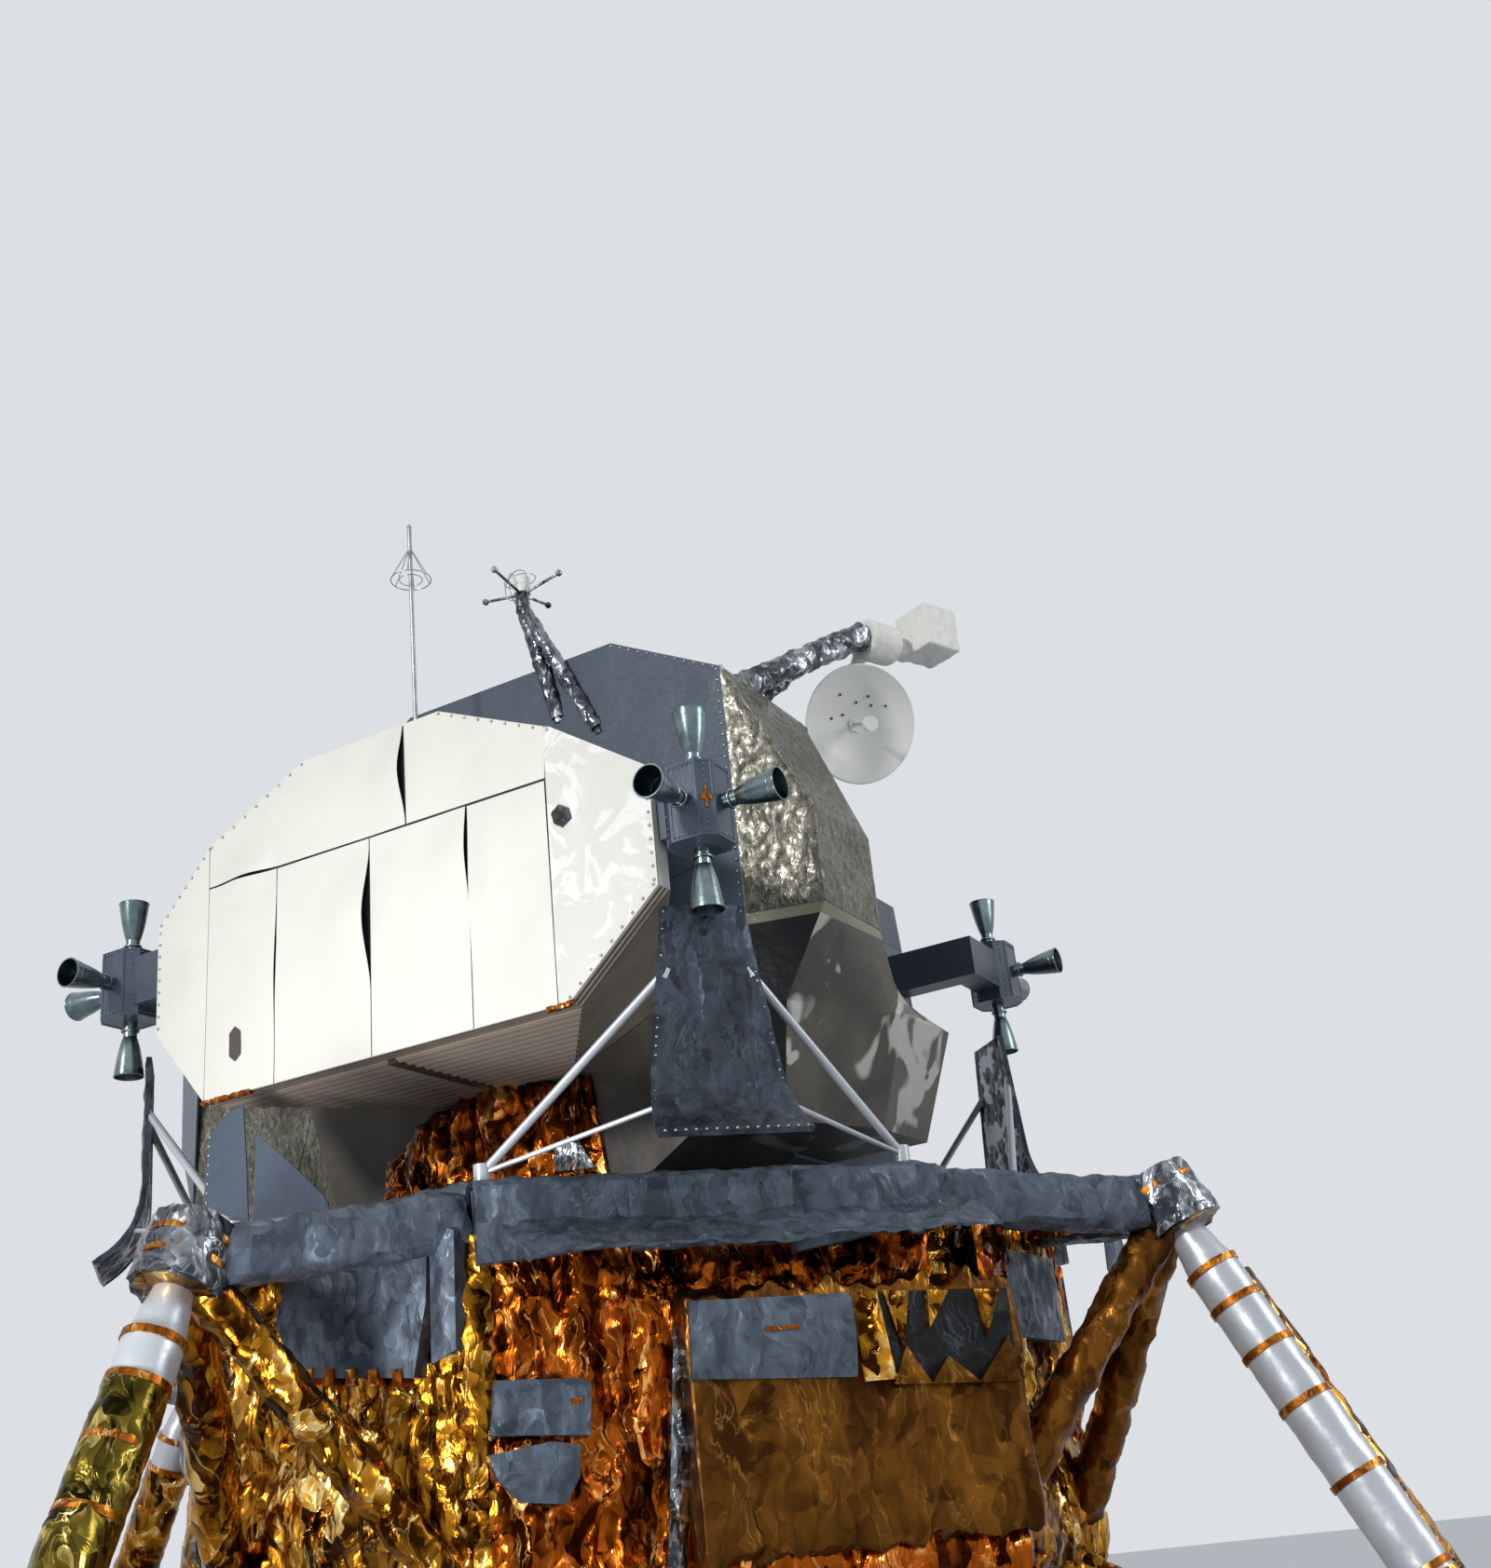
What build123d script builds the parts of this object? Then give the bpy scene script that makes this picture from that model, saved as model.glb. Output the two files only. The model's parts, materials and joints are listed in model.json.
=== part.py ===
"""A two-stage lunar module, standing on its four legs.

Millimetres. X runs to port, Y to aft and Z up, so the forward hatch looks along -Y.
Z = 0 is the floor under the footpads, and the Z axis is the axis of the descent engine.
"""
import os
from math import cos, radians, sin, sqrt

from build123d import *

os.makedirs("parts", exist_ok=True)

# A running or seating gap, how far a welded piece reaches into its carrier, and how far a cut runs past
FIT = 0.3
LAP = 20
PAST = 5

# Descent stage: the plan is an octagon with four end faces and four diagonal faces
DECK_LOW_Z = 1575
DECK_TOP_Z = 3226
STAGE_HALF = 2057
END_HALF = 686
DIAGONAL_OUT = (STAGE_HALF + END_HALF) / sqrt(2)
WELL_HALF = 686
DECK_THICK = 76
SHIELD_DROP = 75
SHIELD_THICK = 30
SHIELD_INSET = 30
SHIELD_RIM = 30
SHIELD_HOLE_R = 610

# Descent engine and its gimbal
GIMBAL_Z = DECK_LOW_Z + 584
GIMBAL_RING_R = 500
GIMBAL_RING_WALL = 60
GIMBAL_RING_HIGH = 120
GIMBAL_PIN_R = 30
BRACKET_SIZE = 220
BRACKET_GAP = 40
CHAMBER_R = 230
CHAMBER_HIGH = 560
CHAMBER_FLOOR = 50
THROAT_R = 150
THROAT_Z = 1880
BELL_WAIST_R = 430
BELL_WAIST_Z = 1440
BELL_EXIT_R = 750
BELL_EXIT_Z = 480
BELL_WALL = 14
THROAT_SPREAD = 0.9
EXIT_SPREAD = 0.12
CHAMBER_UNDER = 10

# Landing legs
LEG_APEX_R = STAGE_HALF + 839
LEG_APEX_Z = DECK_TOP_Z - 254
PAD_CENTRE_R = 4242
PAD_R = 470
PAD_HIGH = 178
PAD_FLOOR_R = 300
PAD_WALL = 22
PAD_LIP = 45
PAD_LIP_WIDE = 38
PAD_RIM_TOP = 10
PAD_FLARE = 30
PAD_FLARE_LOW = 40
PAD_CUP_DROP = 10
PAD_SEAT_R = 150
PAD_SEAT_HIGH = 70
PAD_CUP_R = 140
PAD_JOINT_Z = 120
PAD_SOCKET_R = 105
PAD_SOCKET_LONG = 90
HUB_R = 150
HUB_HALF = 120
STRUT_NECK_R = 70
STRUT_NECK_LONG = 200
STRUT_UPPER_R = 105
STRUT_LOWER_R = 72
STRUT_SPLIT = 0.66
COLLAR_AT = 0.60
COLLAR_WALL = 32
COLLAR_HIGH = 150
COLLAR_SIDE = 122
OUTRIGGER_ROOT_Z = DECK_TOP_Z - 121
OUTRIGGER_WIDE = 165
OUTRIGGER_HIGH = 150
OUTRIGGER_ROOT_IN = 150
BRACE_R = 62
BRACE_ROOT_Z = DECK_LOW_Z + 115
BRACE_ROOT_SIDE = 590
BRACE_ROOT_IN = 60
SIDE_STRUT_R = 50
TRUSS_R = 32
TRUSS_NODE_R = STAGE_HALF + 503
TRUSS_NODE_SIDE = 520
TRUSS_NODE_Z = 1330
TRUSS_ROOT_Z = DECK_LOW_Z + 30
TRUSS_INNER_SIDE = 230
NODE_R = 66
NODE_HALF = 62

# Ladder, with its places as shares of the forward strut's length
LADDER_HALF = 205
LADDER_OFFSET = 220
LADDER_RAIL_R = 19
RUNG_R = 13
RUNG_COUNT = 9
RUNG_MARGIN = 0.02
LADDER_TOP = 0.07
LADDER_FOOT = 0.56
CLAMP_PLACES = (0.12, 0.34, 0.52)
CLAMP_HIGH = 40
CLAMP_WALL = 20
CLAMP_ROD_R = 16

# Cabin places that the porch keeps clear of: the nose is counted from the axis towards the hatch
CABIN_NOSE = 1753
STAGE_GAP = 178
CABIN_BASE_Z = DECK_TOP_Z + STAGE_GAP

# Porch
PORCH_HALF = 406
PORCH_INNER = STAGE_HALF - 207
PORCH_OUTER = CABIN_NOSE + 1240
PORCH_Z = DECK_TOP_Z + 48
PORCH_THICK = 38
TREAD_COUNT = 14
TREAD_WIDE = 34
TREAD_DEEP = 12
TREAD_MARGIN = 30
PORCH_POST_SIDE = 330
PORCH_POST_R = 30
PORCH_STRUT_SIDE = 230
PORCH_STRUT_R = 22
PORCH_STRUT_Z = DECK_TOP_Z - 146
PORCH_STRUT_IN = 60
PORCH_STRUT_SHORT = 90
PORCH_MARGIN = 40
RAIL_HIGH = 470
RAIL_R = 16
RAIL_REAR = CABIN_NOSE + 217
RAIL_SLOPE = 330
RAIL_BEND = 90

# Probes that lie bent on the floor
PROBE_R = 12
PROBE_LONG = 1450
PROBE_DRIFT = 620
PROBE_BEND = 60
PROBE_LIFT = 2

# Thruster quads: octagonal housings with four bells each
QUAD_OUT = 1676
QUAD_Z = CABIN_BASE_Z + 1295
QUAD_BOX = 240
QUAD_BOX_HIGH = 330
QUAD_CORNER = 58
NOZZLE_EXIT_R = 73
NOZZLE_THROAT_R = 24
NOZZLE_LONG = 215
NOZZLE_WALL = 5
NOZZLE_NECK_R = 34
NOZZLE_REACH = 457
SIDE_REACH = 400
AFT_ARM = (170, 250)
FORWARD_ARM = (150, 220)
FORWARD_ARM_PLACE = 1250
FORWARD_ARM_IN = 1200

# Plume deflectors
DEFLECTOR_TOP_Z = QUAD_Z - 409
DEFLECTOR_STRAIGHT_Z = DECK_TOP_Z + 414
DEFLECTOR_FOOT_Z = DECK_TOP_Z + 64
DEFLECTOR_BACK_R = 2262
DEFLECTOR_TOP_WIDE = 345
DEFLECTOR_FOOT_WIDE = 620
DEFLECTOR_SWEEP = 210
DEFLECTOR_WALL = 14
POST_R = 36
POST_HIGH = 105
POST_IN = 75
POST_SIDE_IN = 60
TUBE_R = 19
TUBE_HIGH_SIDE = 170
TUBE_HIGH_DROP = 270
ROD_R = 11
ROD_SIDE = 250
ROD_DROP = 850
ROD_OUT = 60

# Stowage on the descent stage
PALLET_HALF = 600
PALLET_PIVOT_Z = 1790
PALLET_PIVOT_IN = 60
PALLET_HIGH = 930
PALLET_DEEP = 340
PALLET_PIN_R = 15
PALLET_PIN_OUT = 35
PALLET_GAP = 12
PALLET_TOP_SLOPE = 70
PALLET_TOE = 25
PALLET_HEEL = 40
RECESS_HALF = PALLET_HALF + PALLET_GAP
RECESS_BELOW = 75
RECESS_HIGH = PALLET_HIGH + 85
PIVOT_OUT = DIAGONAL_OUT - PALLET_PIVOT_IN
LOCKER_LEFT = -190
LOCKER_RIGHT = 1170
LOCKER_OUT = 250
LOCKER_LOW_Z = DECK_LOW_Z + 205
LOCKER_TOP_Z = DECK_TOP_Z - 536
AWNING_LEFT = -780
AWNING_RIGHT = 1130
AWNING_OUT = 370
AWNING_ROOT_Z = DECK_TOP_Z - 130
AWNING_LOW_Z = DECK_TOP_Z - 376
AWNING_THICK = 24
RADAR_WIDE = 610
RADAR_LONG = 510
RADAR_HIGH = 165
RADAR_AFT = 1500
RADAR_HANG = 195
RADAR_PIN_R = 15
RADAR_EAR_THICK = 25
RADAR_EAR_LONG = 160
RADAR_EAR_R = 60
RADAR_EAR_GAP = 8

# Ascent stage: heights named HIGH are counted up from the cabin's base, and forward places towards the hatch
WALL = 60
MID_FRONT = 686
MID_REAR = -838
MID_STEP = 100
ROOF_HIGH = 2753
ROOF_Z = CABIN_BASE_Z + ROOF_HIGH
SHOULDER_HIGH = 2410
NOSE_HALF = 450
NOSE_SIDE = 1420
CABIN_HALF = 1219
CABIN_ROOF_HIGH = 2336
CABIN_ROOF_Z = CABIN_BASE_Z + CABIN_ROOF_HIGH
BROW_HIGH = 1856
BROW_BACK = 1270
WINDOW_CORNERS = ((60, 1726), (600, 1726), (250, 1236))
PANE_DEEP = 40
PANE_THICK = 12
DOCKING_WINDOW = (340, 980)
DOCKING_WINDOW_SIZE = (130, 300)
HATCH_HALF = 406
HATCH_MIDDLE_Z = CABIN_BASE_Z + 522
HATCH_CORNER_R = 70
HATCH_LIP = 20
HATCH_THICK = 45
HATCH_STEP = 30
HATCH_SINK = 30
HATCH_HINGE_X = -436
HATCH_HINGE_DEEP = 23
HATCH_HINGE_SPREAD = 250
BARREL_LONG_HALF = 60
HINGE_BARREL_R = 14
TUNNEL_R = 406
TUNNEL_WALL = 40
TUNNEL_FLANGE = 45
TUNNEL_FLANGE_HIGH = 26
TUNNEL_LOW_Z = ROOF_Z - 227
TUNNEL_TOP_Z = ROOF_Z + 58
TOP_HATCH_LIP = 30
TOP_HATCH_THICK = 50
TOP_HINGE_OUT = 40
TOP_HINGE_LOW = 25
PORT_SIDE = 2489
PORT_SHOULDER = 2230
PORT_INNER = 1321
PORT_HALF_LONG = 700
PORT_FRONT_LONG = 686
PORT_CORNER_SLOPE = 0.62
STARBOARD_SIDE = 1778
STARBOARD_INNER = 1415
STARBOARD_FRONT = 40
STARBOARD_AFT_DRAW = 100
STARBOARD_FORE_DRAW = 185
BAY_REAR = 1793
BAY_SLAB = 90
BAY_FLOOR_HIGH = 561
BAY_PORT_SIDE = 1361
BAY_STARBOARD_SIDE = 1521
BAY_TOP_REAR_HIGH = 2126
BAY_TOP_FRONT_HIGH = 2156
RIB_PITCH = 32
RIB_DEEP = 8
ASCENT_EXIT_R = 394
ASCENT_EXIT_GAP = 20
ASCENT_NECK_R = 300
ASCENT_WALL = 14
ASCENT_INLET_R = 270
ASCENT_INLET_LOW = 40
FITTING_PLACES = ((620, 740), (-620, 740), (620, -600), (-620, -600))
FITTING_FOOT_R = 80
FITTING_HEAD_R = 50

# Steerable antenna
DISH_R = 330
DISH_DEEP = 95
DISH_WALL = 12
ELBOW = (-1732, -469, ROOF_Z + 220)
ELBOW_R = 112
ELBOW_HALF = 100
BOOM_R = 62
BOOM_ROOT = (-1346, 495, ROOF_Z - 302)
BOOM_TIP_SHORT = 40
STRUT_ROOT = (-1180, 60, ROOF_Z - 207)
STRUT_AT = 0.62
STRUT_R = 24
DISH_PIVOT = (-1516, -453, ROOF_Z - 224)
DISH_AIM = (-0.70, 0.574, -0.42)
SHOULDER_UP = 235
PIVOT_UP = 62
ARM_R = 34
BARREL_R = 48
RECEIVER = (240, 240, 260)
RECEIVER_NECK = 90
FEED_R = 10
FEED_LONG = 270
FEED_HEAD_R = 42
FEED_HEAD_LONG = 25
CUFF_WALL = 8
NECK_START = 80
RECEIVER_BACK = (200, 100, 80)
ARM_START = 55
STEM_LOW = 60
STEM_R = 44
NECK_LONG = 60
NECK_R = 36
DISH_BACK = 40

# Rendezvous radar
RADAR_R = 305
RADAR_DEEP = 90
RADAR_PIVOT = (0, -1290, ROOF_Z + 173)
PEDESTAL_R = 85
PEDESTAL_BACK = 250
EAR_IN = 62
EAR_OUT = 96
SHAFT_R = 25
RADAR_REACH = 250
TRUNNION_R = 18
TRUNNION_HALF = 112
YOKE_TIP_HALF = 115
POST_TOP_UP = 60
EAR_PAST = 45
EAR_HIGH = 100
YOKE_GAP = 6
YOKE_BLOCK = 110
YOKE_NECK = (80, 110)
YOKE_NECK_SHORT = 90
YOKE_CROSS = (90, 40)
YOKE_CROSS_BACK = 75
YOKE_TIP = (80, 120, 30)
YOKE_TIP_BACK = 20
RADAR_BOX_R = 42
RADAR_BOX_HALF = 78
RADAR_NECK_R = 38
RADAR_NECK_LONG = 90
RADAR_BACK = 80
RADAR_FEED_LONG = 225
RADAR_FEED_R = 38

# Fixed antennas and the docking target
VHF_HEAD_R = 38
VHF_LEG_R = 26
VHF_ROD_R = 8
VHF_BALL_R = 18
VHF_ROD_OUT = 240
VHF_ROD_START = 20
VHF_ROD_UP = 60
VHF_HEAD_LOW = 90
VHF_HEAD_HIGH = 110
VHF_LEGS_MEET = 60
AFT_VHF_HEAD = (-330, 930, ROOF_Z + 403)
AFT_VHF_FEET = ((-447, 828, ROOF_Z - 337), (-690, 828, ROOF_Z - 477), (-330, 700, ROOF_Z - 10))
FORWARD_VHF_HEAD = (620, -560, ROOF_Z + 323)
FORWARD_VHF_FEET = ((800, -500, ROOF_Z - 257), (440, -480, ROOF_Z - 10), (620, -640, ROOF_Z - 257))
EVA_X = 140
EVA_Y = 1270
EVA_HINGE_Z = CABIN_BASE_Z + BAY_TOP_FRONT_HIGH + 70
EVA_TOP_Z = ROOF_Z + 871
EVA_MAST_R = 11
EVA_BALL_R = 14
EVA_FERRULE_R = 22
EVA_PIN_R = 12
EVA_EAR_SIDE = 38
EVA_EAR = (60, 20, 100)
EVA_EAR_DROP = 20
EVA_FOOT = (90, 96, 24)
EVA_FOOT_DROP = 80
EVA_PIN_PAST = 8
EVA_FERRULE_LOW = 16
EVA_FERRULE_HIGH = 60
TARGET_PLACE = (-620, -430)
TARGET_R = 150
TARGET_THICK = 14
TARGET_POST_HIGH = 200
TARGET_POST_R = 8
TARGET_CROSS_HALF = 70
TARGET_CROSS_THICK = 10

LEGS = {"aft": 90, "starboard": 180, "forward": 270, "port": 0}
QUADS = {"aft_starboard": 135, "aft_port": 45, "forward_starboard": 225, "forward_port": 315}
PALLET_HEADING = QUADS["forward_port"]
LOCKER_HEADING = QUADS["aft_starboard"]
SIDES = (-1, 1)

UP = Vector(0, 0, 1)


def save(builder, name):
    """Labels a finished piece and writes it under the name of its node."""
    builder.part.label = name
    export_step(builder.part, f"parts/{name}.step")


def around(angle, out, side, z):
    """A place given by its distance out along a heading, its distance to the side of it and its height."""
    a = radians(angle)
    return Vector(out * cos(a) - side * sin(a), out * sin(a) + side * cos(a), z)


def bar(start, end, radius):
    """A round bar between two places."""
    run = Vector(end) - Vector(start)
    with BuildSketch(Plane(origin=start, z_dir=run)) as section:
        Circle(radius)
    extrude(section.sketch, amount=run.length)


def bore(middle, direction, radius, reach):
    """A round hole through what is there, to both sides of a place."""
    way = Vector(direction).normalized()
    with BuildSketch(Plane(origin=Vector(middle) - way * reach, z_dir=way)) as section:
        Circle(radius)
    extrude(section.sketch, amount=2 * reach, mode=Mode.SUBTRACT)


def bent_tube(points, bend, radius):
    """A round tube along straight runs joined by bends."""
    with BuildLine() as path:
        route = FilletPolyline(*points, radius=bend)
    with BuildSketch(Plane(origin=route @ 0, z_dir=route % 0)) as section:
        Circle(radius)
    sweep(section.sketch, path=path.line)


def turning_plane(start, run):
    """A plane that holds an axis: its first direction runs along the axis."""
    across = run.cross(Vector(1, 1, 1)).normalized()
    return Plane(origin=start, x_dir=run, z_dir=across)


def ball_rod(start, tip, rod_radius, ball_radius):
    """A round rod with a ball at its tip, turned in one piece, the ball's end faced flat."""
    run = Vector(tip) - Vector(start)
    neck = run.length - sqrt(ball_radius ** 2 - rod_radius ** 2)
    facing = ball_radius / 5
    end = run.length + sqrt(ball_radius ** 2 - facing ** 2)
    with BuildSketch(turning_plane(start, run)) as half:
        with BuildLine():
            Polyline((neck, rod_radius), (0, rod_radius), (0, 0), (end, 0), (end, facing))
            ThreePointArc((end, facing), (run.length, ball_radius), (neck, rod_radius))
        make_face()
    revolve(half.sketch, axis=Axis(start, run))


def bell(throat, way, length, r_throat, r_exit, wall):
    """A thin nozzle whose wall curves out from its throat to its exit."""
    run = Vector(way) * length
    bulge = 0.3 * length
    with BuildSketch(turning_plane(throat, run)) as half:
        with BuildLine():
            outer = Bezier((0, r_throat + wall), (bulge, 0.78 * r_exit), (length, r_exit))
            Line(outer @ 1, (length, r_exit - wall))
            inner = Bezier((length, r_exit - wall), (bulge, 0.78 * r_exit - wall), (0, r_throat))
            Line(inner @ 1, outer @ 0)
        make_face()
    revolve(half.sketch, axis=Axis(throat, run))


def beam(start, end, wide, high, up=(0, 0, 1)):
    """A square beam between two places, its height turned towards up."""
    run = Vector(end) - Vector(start)
    across = Vector(up).cross(run)
    with BuildSketch(Plane(origin=start, x_dir=across, z_dir=run)) as section:
        Rectangle(wide, high)
    extrude(section.sketch, amount=run.length)


def cone(start, end, r_start, r_end, mode=Mode.ADD):
    """A tapered bar between two places."""
    run = Vector(end) - Vector(start)
    with Locations(Plane(origin=start, z_dir=run).location):
        Cone(r_start, r_end, run.length, align=(Align.CENTER, Align.CENTER, Align.MIN), mode=mode)


def heading_plane(angle, out):
    """An upright plane across a heading, looking out along it."""
    return Plane(origin=around(angle, out, 0, 0), x_dir=around(angle, 0, 1, 0), z_dir=around(angle, 1, 0, 0))


def along_plane(angle, out, side, z=0):
    """An upright plane that holds a heading, so that its first direction runs out along it."""
    return Plane(
        origin=around(angle, out, side, z), x_dir=around(angle, 1, 0, 0), z_dir=around(angle, 0, -1, 0),
    )


def outline(points):
    """A closed face from its corners."""
    with BuildLine() as rim:
        Polyline(*points, close=True)
    make_face(rim.edges())


def trim_behind(face):
    """Cuts off what reaches behind a face of the descent stage, so that it seats on that face."""
    with BuildSketch(face) as section:
        with Locations((0, DECK_LOW_Z)):
            Rectangle(2 * STAGE_HALF, 2 * DECK_TOP_Z)
    extrude(section.sketch, amount=-STAGE_HALF / 4, mode=Mode.SUBTRACT)


def octagon(grow=0):
    """The plan of the descent stage: four end faces and four diagonal faces."""
    half = STAGE_HALF + grow
    end = END_HALF + grow * (sqrt(2) - 1)
    outline((
        (half, -end), (half, end), (end, half), (-end, half),
        (-half, end), (-half, -end), (-end, -half), (end, -half),
    ))


# Descent stage body: the octagonal frame with the open engine well and the recess of the equipment pallet
with BuildPart() as descent_body:
    with BuildSketch(Plane.XY.offset(DECK_LOW_Z)):
        octagon()
        Rectangle(2 * WELL_HALF, 2 * WELL_HALF, mode=Mode.SUBTRACT)
    extrude(amount=DECK_TOP_Z - DECK_THICK - DECK_LOW_Z)
    bracket_long = WELL_HALF - GIMBAL_RING_R - BRACKET_GAP
    for side in SIDES:
        with Locations((side * (WELL_HALF - bracket_long / 2), 0, GIMBAL_Z)):
            Box(bracket_long, BRACKET_SIZE, BRACKET_SIZE)
    bore((0, 0, GIMBAL_Z), (1, 0, 0), GIMBAL_PIN_R + FIT, WELL_HALF)
    with BuildSketch(heading_plane(PALLET_HEADING, DIAGONAL_OUT)):
        with Locations((0, PALLET_PIVOT_Z - RECESS_BELOW + RECESS_HIGH / 2)):
            Rectangle(2 * RECESS_HALF, RECESS_HIGH)
    extrude(amount=-(PALLET_DEEP + PALLET_GAP), mode=Mode.SUBTRACT)
    pin_bore_half = RECESS_HALF + PALLET_PIN_OUT + PAST
    bore(
        around(PALLET_HEADING, PIVOT_OUT, 0, PALLET_PIVOT_Z), around(PALLET_HEADING, 0, 1, 0),
        PALLET_PIN_R + FIT, pin_bore_half,
    )
save(descent_body, "descent_body")

# Upper deck: the plate that closes the stage and the engine's well
with BuildPart() as upper_deck:
    with BuildSketch(Plane.XY.offset(DECK_TOP_Z - DECK_THICK)):
        octagon()
    extrude(amount=DECK_THICK)
save(upper_deck, "upper_deck")

# Heat shield under the stage: a tray with a rim that meets the lower deck, and a collar round the bell
with BuildPart() as base_heat_shield:
    with BuildSketch(Plane.XY.offset(DECK_LOW_Z - SHIELD_DROP)):
        octagon(-SHIELD_INSET)
        Circle(SHIELD_HOLE_R, mode=Mode.SUBTRACT)
    extrude(amount=SHIELD_DROP)
    with BuildSketch(Plane.XY.offset(DECK_LOW_Z - SHIELD_DROP + SHIELD_THICK)):
        octagon(-SHIELD_INSET - SHIELD_RIM)
        Circle(SHIELD_HOLE_R + SHIELD_RIM, mode=Mode.SUBTRACT)
    extrude(amount=SHIELD_DROP, mode=Mode.SUBTRACT)
save(base_heat_shield, "base_heat_shield")

# Gimbal ring: turns on two pins across the well and carries the engine on two pins fore and aft
with BuildPart() as engine_gimbal_ring:
    with BuildSketch(Plane.XY.offset(GIMBAL_Z - GIMBAL_RING_HIGH / 2)):
        Circle(GIMBAL_RING_R)
        Circle(GIMBAL_RING_R - GIMBAL_RING_WALL, mode=Mode.SUBTRACT)
    extrude(amount=GIMBAL_RING_HIGH)
    for side in SIDES:
        pin_root = Vector(side * (GIMBAL_RING_R - LAP), 0, GIMBAL_Z)
        bar(pin_root, (side * (WELL_HALF - LAP), 0, GIMBAL_Z), GIMBAL_PIN_R)
    bore((0, 0, GIMBAL_Z), (0, 1, 0), GIMBAL_PIN_R + FIT, GIMBAL_RING_R + LAP)
save(engine_gimbal_ring, "engine_gimbal_ring")

# Descent engine: the chamber as one block, the bell, and the two pins that seat in the ring
CHAMBER_LOW_Z = THROAT_Z - CHAMBER_UNDER
with BuildPart() as descent_engine:
    with BuildSketch(Plane.XZ):
        with BuildLine():
            inner = Spline(
                (THROAT_R, THROAT_Z), (BELL_WAIST_R, BELL_WAIST_Z), (BELL_EXIT_R, BELL_EXIT_Z),
                tangents=((THROAT_SPREAD, -1), (EXIT_SPREAD, -1)),
            )
            Line(inner @ 1, (BELL_EXIT_R + BELL_WALL, BELL_EXIT_Z))
            outer = Spline(
                (BELL_EXIT_R + BELL_WALL, BELL_EXIT_Z), (BELL_WAIST_R + BELL_WALL, BELL_WAIST_Z),
                (THROAT_R + BELL_WALL, THROAT_Z), tangents=((-EXIT_SPREAD, 1), (-THROAT_SPREAD, 1)),
            )
            Line(outer @ 1, inner @ 0)
        make_face()
    revolve(axis=Axis.Z)
    with BuildSketch(Plane.XY.offset(CHAMBER_LOW_Z)):
        Circle(CHAMBER_R)
    extrude(amount=CHAMBER_HIGH)
    with BuildSketch(Plane.XY.offset(CHAMBER_LOW_Z)):
        Circle(THROAT_R)
    extrude(amount=CHAMBER_FLOOR + CHAMBER_UNDER, mode=Mode.SUBTRACT)
    for side in SIDES:
        pin_root = Vector(0, side * (CHAMBER_R - LAP), GIMBAL_Z)
        bar(pin_root, (0, side * (GIMBAL_RING_R - PAST), GIMBAL_Z), GIMBAL_PIN_R)
save(descent_engine, "descent_engine")

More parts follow.
